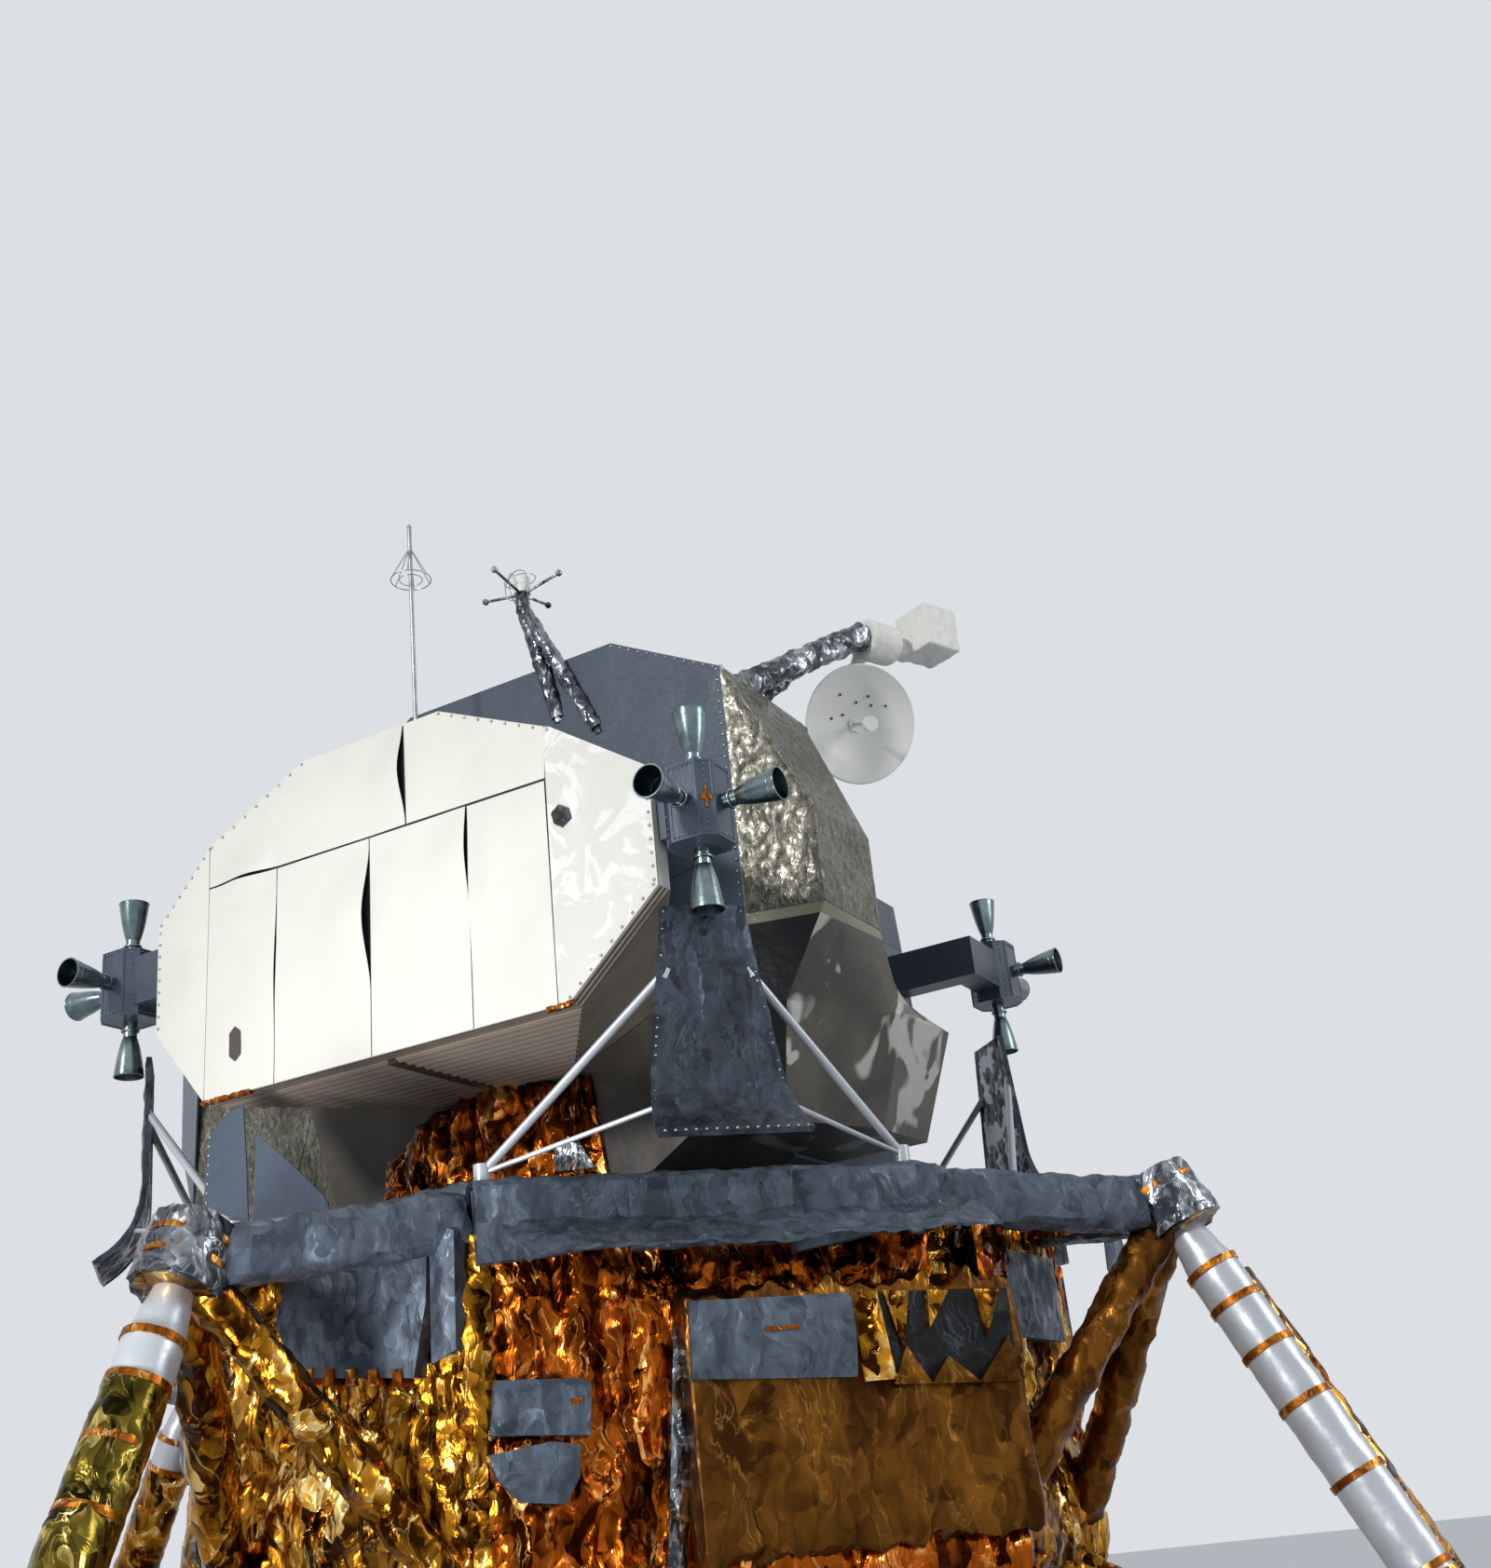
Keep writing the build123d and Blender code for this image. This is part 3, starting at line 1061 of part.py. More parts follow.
# Aft equipment bay: a flat rear panel, sides that draw in to the midsection and a ribbed floor
RIB_COUNT = int((BAY_REAR - BAY_SLAB + MID_REAR) / RIB_PITCH) - 1
with BuildPart() as aft_equipment_bay:
    prism(BAY_REAR_OUTLINE, -BAY_REAR, -BAY_REAR + BAY_SLAB)
    with BuildSketch(section_plane(-BAY_REAR + BAY_SLAB)):
        outline(BAY_REAR_OUTLINE)
    with BuildSketch(section_plane(MID_REAR)):
        outline(BAY_FRONT_OUTLINE)
    loft(ruled=True)
    groove_side = Plane(
        origin=(0, (BAY_REAR - BAY_SLAB - MID_REAR) / 2, CABIN_BASE_Z + BAY_FLOOR_HIGH),
        x_dir=(0, 1, 0), z_dir=(1, 0, 0),
    )
    with BuildSketch(groove_side):
        with GridLocations(RIB_PITCH, 0, RIB_COUNT, 1):
            Polygon((-RIB_PITCH / 3, 0), (RIB_PITCH / 3, 0), (0, RIB_DEEP), align=None)
    extrude(amount=BAY_REAR, both=True, mode=Mode.SUBTRACT)
save(aft_equipment_bay, "aft_equipment_bay")

# Ascent engine: the nozzle under the cabin floor
ASCENT_EXIT_Z = DECK_TOP_Z + ASCENT_EXIT_GAP
with BuildPart() as ascent_engine:
    cone((0, 0, CABIN_BASE_Z), (0, 0, ASCENT_EXIT_Z), ASCENT_NECK_R, ASCENT_EXIT_R)
    cone(
        (0, 0, CABIN_BASE_Z - ASCENT_INLET_LOW), (0, 0, ASCENT_EXIT_Z),
        ASCENT_INLET_R, ASCENT_EXIT_R - ASCENT_WALL, mode=Mode.SUBTRACT,
    )
save(ascent_engine, "ascent_engine")

# Fittings that join the two stages
with BuildPart() as stage_fittings:
    for x, y in FITTING_PLACES:
        cone((x, y, DECK_TOP_Z), (x, y, CABIN_BASE_Z), FITTING_FOOT_R, FITTING_HEAD_R)
save(stage_fittings, "stage_fittings")

# Thruster quads: a housing with four bells, on an arm from the cabin or the aft bay
arm_start = QUAD_BOX / 2 - PAST
for quad, heading in QUADS.items():
    x_sign = 1 if cos(radians(heading)) > 0 else -1
    y_sign = 1 if sin(radians(heading)) > 0 else -1
    centre = Vector(x_sign * QUAD_OUT, y_sign * QUAD_OUT, QUAD_Z)
    bell_ways = {(0, 0, 1): NOZZLE_REACH, (0, 0, -1): NOZZLE_REACH, (x_sign, 0, 0): SIDE_REACH,
                 (0, y_sign, 0): SIDE_REACH}
    with BuildPart() as thruster_quad:
        with BuildSketch(Plane.XY.offset(QUAD_Z - QUAD_BOX_HIGH / 2)) as plan:
            with Locations((centre.X, centre.Y)):
                Rectangle(QUAD_BOX, QUAD_BOX)
            chamfer(plan.vertices(), QUAD_CORNER)
        extrude(amount=QUAD_BOX_HIGH)
        for way, reach in bell_ways.items():
            out = Vector(way)
            throat = centre + out * (reach - NOZZLE_LONG)
            bar(centre, throat + out * LAP, NOZZLE_NECK_R)
            bell(throat, out, NOZZLE_LONG, NOZZLE_THROAT_R, NOZZLE_EXIT_R, NOZZLE_WALL)
        if y_sign > 0:
            bay_side = BAY_PORT_SIDE if x_sign > 0 else BAY_STARBOARD_SIDE
            root = centre - Vector(x_sign * arm_start, 0, 0)
            beam(root, Vector(x_sign * (bay_side + FIT), centre.Y, QUAD_Z), *AFT_ARM)
        else:
            bend = Vector(centre.X, -FORWARD_ARM_PLACE, QUAD_Z)
            corner = Vector(x_sign * FORWARD_ARM[0] / 2, 0, 0)
            beam(centre + Vector(0, arm_start, 0), bend, *FORWARD_ARM)
            beam(bend + corner, Vector(x_sign * FORWARD_ARM_IN, bend.Y, QUAD_Z), *FORWARD_ARM)
            prism(CABIN_OUTLINE, MID_FRONT, CABIN_NOSE, mode=Mode.SUBTRACT)
    save(thruster_quad, f"{quad}_thrusters")


def dish_shell(vertex, aim, radius, deep, wall):
    """A parabolic dish whose back is at vertex and whose mouth looks along aim."""
    aim = Vector(aim).normalized()
    side = UP.cross(aim).normalized()
    with BuildSketch(Plane(origin=vertex, x_dir=side, z_dir=side.cross(aim))) as half:
        with BuildLine():
            back = Bezier((0, 0), (radius / 2, 0), (radius, deep))
            Line(back @ 1, (radius - wall, deep))
            face = Bezier((radius - wall, deep), ((radius - wall) / 2, wall), (0, wall))
            Line(face @ 1, back @ 0)
        make_face()
    revolve(half.sketch, axis=Axis(vertex, aim))


def feed(vertex, aim, long, head_r):
    """The rod and the small drum that stand in a dish."""
    aim = Vector(aim).normalized()
    bar(vertex + aim * PAST, vertex + aim * long, FEED_R)
    bar(vertex + aim * (long - FEED_HEAD_LONG), vertex + aim * long, head_r)


# Steerable antenna: boom and strut, the arm that turns on the boom's end, and the dish that turns on the arm
elbow = Vector(*ELBOW)
boom_root = Vector(*BOOM_ROOT)
outboard = Vector(elbow.X - boom_root.X, elbow.Y - boom_root.Y, 0).normalized()
sideways = Vector(outboard.Y, -outboard.X, 0)
boom_end = elbow - outboard * (ELBOW_HALF + BOOM_TIP_SHORT)
dish_pivot = Vector(*DISH_PIVOT)

with BuildPart() as s_band_boom:
    reach = boom_end - boom_root
    bar(boom_root - reach.normalized() * BOOM_R, boom_end, BOOM_R)
    bar(boom_end - outboard * LAP, elbow - outboard * (ELBOW_HALF + FIT), BOOM_R + CUFF_WALL)
    bar(STRUT_ROOT, boom_root + reach * STRUT_AT, STRUT_R)
    cut_midsection()
save(s_band_boom, "s_band_boom")

with BuildPart() as s_band_arm:
    bar(elbow - outboard * ELBOW_HALF, elbow + outboard * ELBOW_HALF, ELBOW_R)
    box_deep, box_wide, box_high = RECEIVER
    beam(elbow + outboard * NECK_START, elbow + outboard * box_deep, RECEIVER_NECK, RECEIVER_NECK)
    out, across, up = RECEIVER_BACK
    box_back = elbow + outboard * out + sideways * across + UP * up
    beam(box_back, box_back + outboard * box_deep, box_wide, box_high)
    shoulder = dish_pivot + UP * SHOULDER_UP
    bar(elbow - outboard * ARM_START, shoulder, ARM_R)
    with Locations(shoulder):
        Sphere(BARREL_R)
    bar(dish_pivot + UP * PIVOT_UP, shoulder, BARREL_R)
save(s_band_arm, "s_band_arm")

with BuildPart() as s_band_dish:
    aim = Vector(*DISH_AIM).normalized()
    bar(dish_pivot - UP * STEM_LOW, dish_pivot + UP * (PIVOT_UP - FIT), STEM_R)
    bar(dish_pivot, dish_pivot + aim * NECK_LONG, NECK_R)
    dish_back = dish_pivot + aim * DISH_BACK
    dish_shell(dish_back, aim, DISH_R, DISH_DEEP, DISH_WALL)
    feed(dish_back, aim, FEED_LONG - DISH_BACK, FEED_HEAD_R)
save(s_band_dish, "s_band_dish")

# Rendezvous radar: pedestal, the yoke that turns on its shaft, and the dish that turns in the yoke
radar = Vector(*RADAR_PIVOT)
with BuildPart() as radar_pedestal:
    post = Vector(0, radar.Y + PEDESTAL_BACK, 0)
    bar(post + UP * CABIN_ROOF_Z, post + UP * (radar.Z + POST_TOP_UP), PEDESTAL_R)
    for side in SIDES:
        ear = Vector(side * (EAR_IN + EAR_OUT) / 2, 0, radar.Z)
        beam(post + ear, ear + Vector(0, radar.Y - EAR_PAST, 0), EAR_OUT - EAR_IN, EAR_HIGH)
    bore(radar, (1, 0, 0), SHAFT_R + FIT, EAR_OUT + PAST)
save(radar_pedestal, "radar_pedestal")

trunnion = radar - Vector(0, RADAR_REACH, 0)
with BuildPart() as radar_yoke:
    shaft_half = Vector(EAR_OUT - PAST, 0, 0)
    bar(radar - shaft_half, radar + shaft_half, SHAFT_R)
    with Locations(radar):
        Box(2 * (EAR_IN - YOKE_GAP), YOKE_BLOCK, YOKE_BLOCK)
    beam(radar, trunnion + Vector(0, YOKE_NECK_SHORT, 0), *YOKE_NECK)
    with Locations(trunnion + Vector(0, YOKE_CROSS_BACK, 0)):
        Box(*YOKE_CROSS, 2 * YOKE_TIP_HALF)
    for side in SIDES:
        with Locations(trunnion + Vector(0, YOKE_TIP_BACK, side * (YOKE_TIP_HALF - YOKE_TIP[2] / 2))):
            Box(*YOKE_TIP)
    bore(trunnion, UP, TRUNNION_R + FIT, YOKE_TIP_HALF + PAST)
save(radar_yoke, "radar_yoke")

with BuildPart() as radar_dish:
    bar(trunnion - UP * TRUNNION_HALF, trunnion + UP * TRUNNION_HALF, TRUNNION_R)
    bar(trunnion - UP * RADAR_BOX_HALF, trunnion + UP * RADAR_BOX_HALF, RADAR_BOX_R)
    bar(trunnion, trunnion - Vector(0, RADAR_NECK_LONG, 0), RADAR_NECK_R)
    radar_vertex = trunnion - Vector(0, RADAR_BACK, 0)
    dish_shell(radar_vertex, (0, -1, 0), RADAR_R, RADAR_DEEP, DISH_WALL)
    feed(radar_vertex, (0, -1, 0), RADAR_FEED_LONG, RADAR_FEED_R)
save(radar_dish, "radar_dish")


def vhf_antenna(head, feet):
    """A head with four slanted rods, carried by legs that end at the feet."""
    head = Vector(*head)
    bar(head - UP * VHF_HEAD_LOW, head + UP * VHF_HEAD_HIGH, VHF_HEAD_R)
    for foot in feet:
        bar(foot, head - UP * VHF_LEGS_MEET, VHF_LEG_R)
    for x, y in ((1, 0), (-1, 0), (0, 1), (0, -1)):
        way = Vector(x, y, 0)
        start = head + (way + UP) * VHF_ROD_START
        ball_rod(start, head + way * VHF_ROD_OUT + UP * VHF_ROD_UP, VHF_ROD_R, VHF_BALL_R)


with BuildPart() as aft_vhf_antenna:
    vhf_antenna(AFT_VHF_HEAD, AFT_VHF_FEET)
    cut_midsection()
save(aft_vhf_antenna, "aft_vhf_antenna")

with BuildPart() as forward_vhf_antenna:
    vhf_antenna(FORWARD_VHF_HEAD, FORWARD_VHF_FEET)
    cut_midsection()
save(forward_vhf_antenna, "forward_vhf_antenna")

# Antenna for crew outside: a mast on the aft bay that folds down to port between two ears
eva_hinge = Vector(EVA_X, EVA_Y, EVA_HINGE_Z)
with BuildPart() as eva_bracket:
    for side in SIDES:
        with Locations(eva_hinge + Vector(0, side * EVA_EAR_SIDE, -EVA_EAR_DROP)):
            Box(*EVA_EAR)
    with Locations(eva_hinge - UP * EVA_FOOT_DROP):
        Box(*EVA_FOOT)
    bore(eva_hinge, (0, 1, 0), EVA_PIN_R + FIT, 2 * EVA_EAR_SIDE)
    bay_top = Plane(
        origin=(0, -MID_REAR, CABIN_BASE_Z + BAY_TOP_FRONT_HIGH + FIT),
        z_dir=(0, BAY_TOP_FRONT_HIGH - BAY_TOP_REAR_HIGH, BAY_REAR - BAY_SLAB + MID_REAR),
    )
    split(bisect_by=bay_top, keep=Keep.TOP)
save(eva_bracket, "eva_bracket")

with BuildPart() as eva_antenna:
    pin_half = Vector(0, EVA_EAR_SIDE + EVA_PIN_PAST, 0)
    bar(eva_hinge - pin_half, eva_hinge + pin_half, EVA_PIN_R)
    bar(eva_hinge - UP * EVA_FERRULE_LOW, eva_hinge + UP * EVA_FERRULE_HIGH, EVA_FERRULE_R)
    tip = (EVA_X, EVA_Y, EVA_TOP_Z - EVA_BALL_R)
    ball_rod(eva_hinge + UP * EVA_FERRULE_HIGH / 2, tip, EVA_MAST_R, EVA_BALL_R)
save(eva_antenna, "eva_antenna")

# Docking target: a disc with a standing cross beside the tunnel
target = Vector(*TARGET_PLACE, ROOF_Z)
with BuildPart() as docking_target:
    bar(target, target + UP * TARGET_THICK, TARGET_R)
    bar(target + UP * TARGET_THICK / 2, target + UP * TARGET_POST_HIGH, TARGET_POST_R)
    for wide, long in ((TARGET_CROSS_HALF, TARGET_POST_R), (TARGET_POST_R, TARGET_CROSS_HALF)):
        with Locations(target + UP * TARGET_POST_HIGH):
            Box(2 * wide, 2 * long, TARGET_CROSS_THICK)
save(docking_target, "docking_target")

print("nodes", len(os.listdir("parts")))
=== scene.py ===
# %% [markdown]
# # A two-stage lunar module, seen from behind and below
#
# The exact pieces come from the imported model: the stages, the legs, the antennas and everything that moves.
# This lesson gives each of them its finish, and adds what is thin and soft on the real craft: crumpled film,
# blankets, tape, rivets and wire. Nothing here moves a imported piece. Distances are in metres, X runs to port,
# Y to aft and Z up.

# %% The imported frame
import json
import math

import bpy
import numpy as np
from mathutils import Matrix, Vector

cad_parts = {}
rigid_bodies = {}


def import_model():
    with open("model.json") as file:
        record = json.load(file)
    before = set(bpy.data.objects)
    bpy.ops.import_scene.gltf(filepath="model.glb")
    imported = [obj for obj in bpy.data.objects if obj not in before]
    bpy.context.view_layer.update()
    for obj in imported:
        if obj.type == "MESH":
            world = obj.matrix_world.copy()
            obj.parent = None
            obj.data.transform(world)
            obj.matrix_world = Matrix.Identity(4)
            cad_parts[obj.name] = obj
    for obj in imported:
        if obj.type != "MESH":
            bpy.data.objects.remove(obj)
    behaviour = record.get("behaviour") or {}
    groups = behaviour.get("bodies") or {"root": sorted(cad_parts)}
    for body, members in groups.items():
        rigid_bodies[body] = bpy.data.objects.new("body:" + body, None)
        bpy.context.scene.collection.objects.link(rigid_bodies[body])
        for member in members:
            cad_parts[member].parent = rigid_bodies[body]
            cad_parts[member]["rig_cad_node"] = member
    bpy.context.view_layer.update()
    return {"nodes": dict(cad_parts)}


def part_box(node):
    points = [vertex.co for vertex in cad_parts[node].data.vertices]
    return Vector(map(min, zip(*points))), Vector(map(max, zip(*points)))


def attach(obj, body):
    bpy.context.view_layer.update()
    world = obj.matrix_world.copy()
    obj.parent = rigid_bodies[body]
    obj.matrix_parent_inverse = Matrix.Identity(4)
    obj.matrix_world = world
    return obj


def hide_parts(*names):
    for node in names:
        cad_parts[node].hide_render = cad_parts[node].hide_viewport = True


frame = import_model()
NODES = frame["nodes"]
UP = Vector((0, 0, 1))
print("pieces in the frame:", len(NODES))

# %% [markdown]
# ## Camera
#
# The photograph was taken with a long-sided frame from about the height of a standing person, looking up past
# the rear corner. The camera was solved from points of the craft, so it is set by its place, its heading, its
# tilt and a little roll. A small shift moves the picture's centre to the lens axis, as the photograph's crop
# does.

# %% Camera
PHOTO_WIDE, PHOTO_HIGH = 1600, 1683
LENS_PIXELS = 1876.8
AXIS_PIXEL = (806.0, 889.0)
CAMERA_PLACE = Vector((-4.97947, 7.67499, 1.82265))
CAMERA_HEADING = math.radians(207.0418)
CAMERA_TILT = math.radians(21.9805)
CAMERA_ROLL = math.radians(6.2932)


def aim_camera():
    """Makes the camera with the photograph's view."""
    level = Vector((-math.sin(CAMERA_HEADING), math.cos(CAMERA_HEADING), 0))
    ahead = level * math.cos(CAMERA_TILT) + UP * math.sin(CAMERA_TILT)
    right = ahead.cross(UP).normalized()
    over = right.cross(ahead)
    turned_right = right * math.cos(CAMERA_ROLL) - over * math.sin(CAMERA_ROLL)
    turned_over = right * math.sin(CAMERA_ROLL) + over * math.cos(CAMERA_ROLL)
    bpy.ops.object.camera_add()
    camera = bpy.context.object
    camera.name = "photo_camera"
    turn = Matrix((turned_right, turned_over, -ahead)).transposed().to_4x4()
    camera.matrix_world = Matrix.Translation(CAMERA_PLACE) @ turn
    camera.data.lens = camera.data.sensor_width * LENS_PIXELS / PHOTO_HIGH
    camera.data.shift_x = (PHOTO_WIDE / 2 - AXIS_PIXEL[0]) / PHOTO_HIGH
    camera.data.shift_y = (AXIS_PIXEL[1] - PHOTO_HIGH / 2) / PHOTO_HIGH
    camera.data.clip_end = 300
    bpy.context.scene.camera = camera
    return camera


camera = aim_camera()
print("lens", round(camera.data.lens, 2), "mm")

# %% [markdown]
# ## Shader sums in plain Python
#
# A finish is a small tree of nodes. Written node by node it is hard to read, so a class wraps one number
# socket and lets sums of sockets be written as sums. Every other node comes from one method that sets its
# settings first and then its sockets. Colours go through a Mix node, because sums of numbers would turn them
# gray.

# %% Numbers that vary over a surface
class Amount:
    """A number that varies over a surface; sums of amounts add Math nodes."""

    def __init__(self, tree, socket):
        self.tree = tree
        self.socket = socket

    def math(self, operation, other=0.0, swapped=False):
        node = self.tree.nodes.new("ShaderNodeMath")
        node.operation = operation
        for place, value in enumerate((other, self) if swapped else (self, other)):
            if isinstance(value, Amount):
                self.tree.links.new(value.socket, node.inputs[place])
            else:
                node.inputs[place].default_value = value
        return Amount(self.tree, node.outputs[0])

    def __add__(self, other):
        return self.math("ADD", other)

    def __sub__(self, other):
        return self.math("SUBTRACT", other)

    def __rsub__(self, other):
        return self.math("SUBTRACT", other, swapped=True)

    def __mul__(self, other):
        return self.math("MULTIPLY", other)

    def over(self, edge):
        """1 where the amount is over the edge, else 0."""
        return self.math("GREATER_THAN", edge)

    def either(self, other):
        return self.math("MAXIMUM", other)

    __radd__ = __add__
    __rmul__ = __mul__


# %% Node trees, and materials as one kind of them
class Tree:
    """A node tree that is filled by one method."""

    def __init__(self, tree):
        self.tree = tree

    def set(self, node, values):
        """Gives sockets their values or links; a socket's spaces are written as underscores."""
        for key, value in values.items():
            names = (key, key.replace("_", " "))
            socket = next(s for s in node.inputs if s.identifier in names and s.enabled)
            if isinstance(value, Amount):
                self.tree.links.new(value.socket, socket)
            else:
                socket.default_value = value

    def node(self, kind, settings=(), **inputs):
        """Any node: its settings first, then its sockets; returns its outputs by name."""
        node = self.tree.nodes.new(kind)
        for key, value in dict(settings).items():
            setattr(node, key, value)
        self.set(node, inputs)
        return {s.name: Amount(self.tree, s) for s in node.outputs if s.enabled}

    def vector(self, operation, first, second, output="Vector"):
        """A sum of two vectors."""
        return self.node("ShaderNodeVectorMath", {"operation": operation}, Vector=first,
                         Vector_001=second)[output]

    def mix(self, share, first, second):
        """The first colour where share is 0 and the second where it is 1."""
        return self.node("ShaderNodeMix", {"data_type": "RGBA"}, Factor_Float=share, A_Color=first,
                         B_Color=second)["Result"]


class Finish(Tree):
    """One material and its node tree."""

    def __init__(self, name, **constants):
        self.material = bpy.data.materials.new(name)
        self.material.use_nodes = True
        super().__init__(self.material.node_tree)
        self.shader = self.tree.nodes["Principled BSDF"]
        self.place = self.node("ShaderNodeTexCoord")["Object"]
        self.set(self.shader, constants)

    def noise(self, scale, detail=3.0, roughness=0.5, distortion=0.0, place=None):
        return self.node("ShaderNodeTexNoise", Vector=place or self.place, Scale=scale, Detail=detail,
                         Roughness=roughness, Distortion=distortion)["Fac"]

    def spread(self, value, low, high, to_low=0.0, to_high=1.0):
        """The value's run from low to high, stretched to another run and held at its ends."""
        return self.node("ShaderNodeMapRange", Value=value, From_Min=low, From_Max=high, To_Min=to_low,
                         To_Max=to_high)["Result"]

    def facets(self, scale, place):
        """Flat facets with sharp folds between them: a tilted plane's height in each cell, and its shade."""
        cell = self.node("ShaderNodeTexVoronoi", Vector=place, Scale=scale)
        inside = self.vector("SUBTRACT", place, cell["Position"])
        tilt = self.vector("SUBTRACT", cell["Color"], (0.5, 0.5, 0.5))
        shade = self.node("ShaderNodeSeparateColor", Color=cell["Color"])["Red"]
        return self.vector("DOT_PRODUCT", inside, tilt, "Value"), shade

    def folds(self, scale, wide):
        """1 on the thin lines between cells and 0 away from them."""
        edge = self.node("ShaderNodeTexVoronoi", {"feature": "DISTANCE_TO_EDGE"}, Vector=self.place,
                         Scale=scale)["Distance"]
        return self.spread(edge, 0.0, wide, 1.0, 0.0)

    def tall(self, place, squash):
        """The place with its height squashed, so that patterns on it grow tall."""
        return self.vector("MULTIPLY", place, (1.0, 1.0, squash))

    def height(self):
        """The place's own height on the craft, in metres."""
        return self.node("ShaderNodeSeparateXYZ", Vector=self.place)["Z"]

    def facing(self, axis):
        """The surface's own direction along an axis of the craft, from -1 to 1."""
        normal = self.node("ShaderNodeTexCoord")["Normal"]
        return self.node("ShaderNodeSeparateXYZ", Vector=normal)[axis]

    def bump(self, height, distance):
        """Dents in the surface's shading, from a height in metres times distance."""
        normal = self.node("ShaderNodeBump", Height=height, Strength=1.0, Distance=distance)["Normal"]
        self.set(self.shader, {"Normal": normal})

    def warp(self, scale, amount):
        """The place, pushed about by noise, so that a pattern doesn't look regular."""
        push = self.node("ShaderNodeTexNoise", Vector=self.place, Scale=scale)["Color"]
        push = self.node("ShaderNodeVectorMath", {"operation": "SCALE"}, Vector=push, Scale=amount)["Vector"]
        return self.vector("ADD", self.place, push)

    def done(self, slot):
        """Hands over the material; the slot is not used."""
        return self.material


def colour(hex_code):
    """A linear colour with alpha from its screen value."""
    parts = [int(hex_code[i:i + 2], 16) / 255 for i in (0, 2, 4)]
    return (*(c / 12.92 if c <= 0.04045 else ((c + 0.055) / 1.055) ** 2.4 for c in parts), 1)


def colours(hex_codes):
    """Several colours, written with spaces between them."""
    return [colour(code) for code in hex_codes.split()]


# %% [markdown]
# ## Finishes
#
# The craft is a patchwork of thin skins. Painted panels are nearly flat and matt; aluminised film is a mirror
# broken into small flat facets; amber film is the same mirror seen through a brown to yellow filter; blankets
# are film with a dull blue-gray face. So there are three families here, and each one takes its colours and
# the size of its folds. A mirror facet shows one patch of its surroundings, so the film's colour has painted
# reflection in it, going from dark to light across each facet's tilt, and painted highlights along the
# creases and on the brightest facets.

# %% Film, foil and blankets
LONG_FACET, SHORT_FACET = 0.34, 0.6
CREASE_WIDE = 0.016


def film(name, slot, hex_codes, facet, depth, roughness, metallic, patch=1.6, swing=1.5, middle=0.42, crease_highlight=0.8):
    """Crumpled film: painted reflection across each facet's tilt, painted highlights on thin creases, and a drift
    of colour.
    """
    dark, light, highlight_colour = colours(hex_codes)
    f = Finish(name, Metallic=metallic)
    place = f.warp(4.0, 0.22)
    tall = f.tall(place, LONG_FACET)
    big, _ = f.facets(facet * 0.8, tall)
    small, small_shade = f.facets(facet * 2.4, f.tall(place, SHORT_FACET))
    drift = f.noise(patch, 4, 0.6, 0.6) - 0.5
    crease = f.noise(facet * 0.45, 4, 0.55, 2.4, tall) - 0.5
    # Painted reflection: the colour runs from dark to light across each facet's tilt and the creases, with a
    # random drift of colour mixed in.
    slope = big * (facet * swing) + small * (facet * 1.8 * swing) + crease * 1.6
    share = f.spread(slope + drift * 0.9 + middle, 0.0, 1.0)
    # Painted highlights: thin bright lines on the creases, in patches, and the highlight colour on the brightest
    # facets.
    lines = f.spread(crease.math("ABSOLUTE"), 0.0, CREASE_WIDE, 1.0, 0.0)
    lines = lines * f.spread(f.noise(patch * 3, 2), 0.46, 0.60)
    painted_glint = f.spread(slope + drift * 0.5, 0.42, 0.72).either(lines * crease_highlight)
    f.set(f.shader, {"Base_Color": f.mix(painted_glint, f.mix(share, dark, light), highlight_colour),
                     "Roughness": f.spread(small_shade, 0.0, 1.0, roughness * 0.6, roughness * 1.5)})
    f.bump(big + small * 0.5 + crease * (0.35 / facet), depth)
    return f.done(slot)


# Each film's three colours: the dark and light ends of its painted reflection, then its painted highlight.
BLANKET = film("blanket", "blanket", "333c47 5d6977 8390a0", 11, 0.20, 0.44, 0.40, 1.2, 0.9, 0.45, 0.35)
SHEET_GRAY = film("gray_sheet", "blanket", "1f252d 46515e 6d7a88", 12, 0.16, 0.36, 0.5, 1.2, 0.9, 0.42, 0.4)
# Near-black film, painted shade for the opening in the locker's front.
LOCKER_SHADE_FILM = film("dark_film", "gray_panel", "050506 1d2126 474e57", 8, 0.25, 0.4, 0.5)
SILVER = film("silver_film", "silver_foil", "45433a 7f7d70 b3b1a4", 52, 0.09, 0.34, 0.7, 1.5, 0.9)
SILVER_WRAP = film("silver_wrap", "silver_foil", "43484d a3a8ac d8dce0", 13, 0.35, 0.24, 1.0, 3.0)
GOLD = film("gold_film", "gold_foil", "3a1d05 d48f28 ffdb8c", 8, 0.40, 0.2, 1.0, 1.4, 1.6, 0.5)
ORANGE = film("orange_film", "gold_foil", "341003 c4621a ffb862", 8, 0.40, 0.2, 1.0, 1.6, 1.6, 0.5)
BROWN = film("brown_film", "gold_foil", "3f240a 8c5a1e c08a44", 7, 0.22, 0.30, 0.95, 1.3, 0.8, 0.45, 0.5)
OLIVE = film("olive_film", "gold_foil", "1f1a08 84722c e0c878", 9, 0.30, 0.22, 1.0, 1.6, 1.5)
TAPE = film("amber_tape", "gold_foil", "7a3b06 c07a20 ffce86", 20, 0.10, 0.3, 0.9, 3.0)


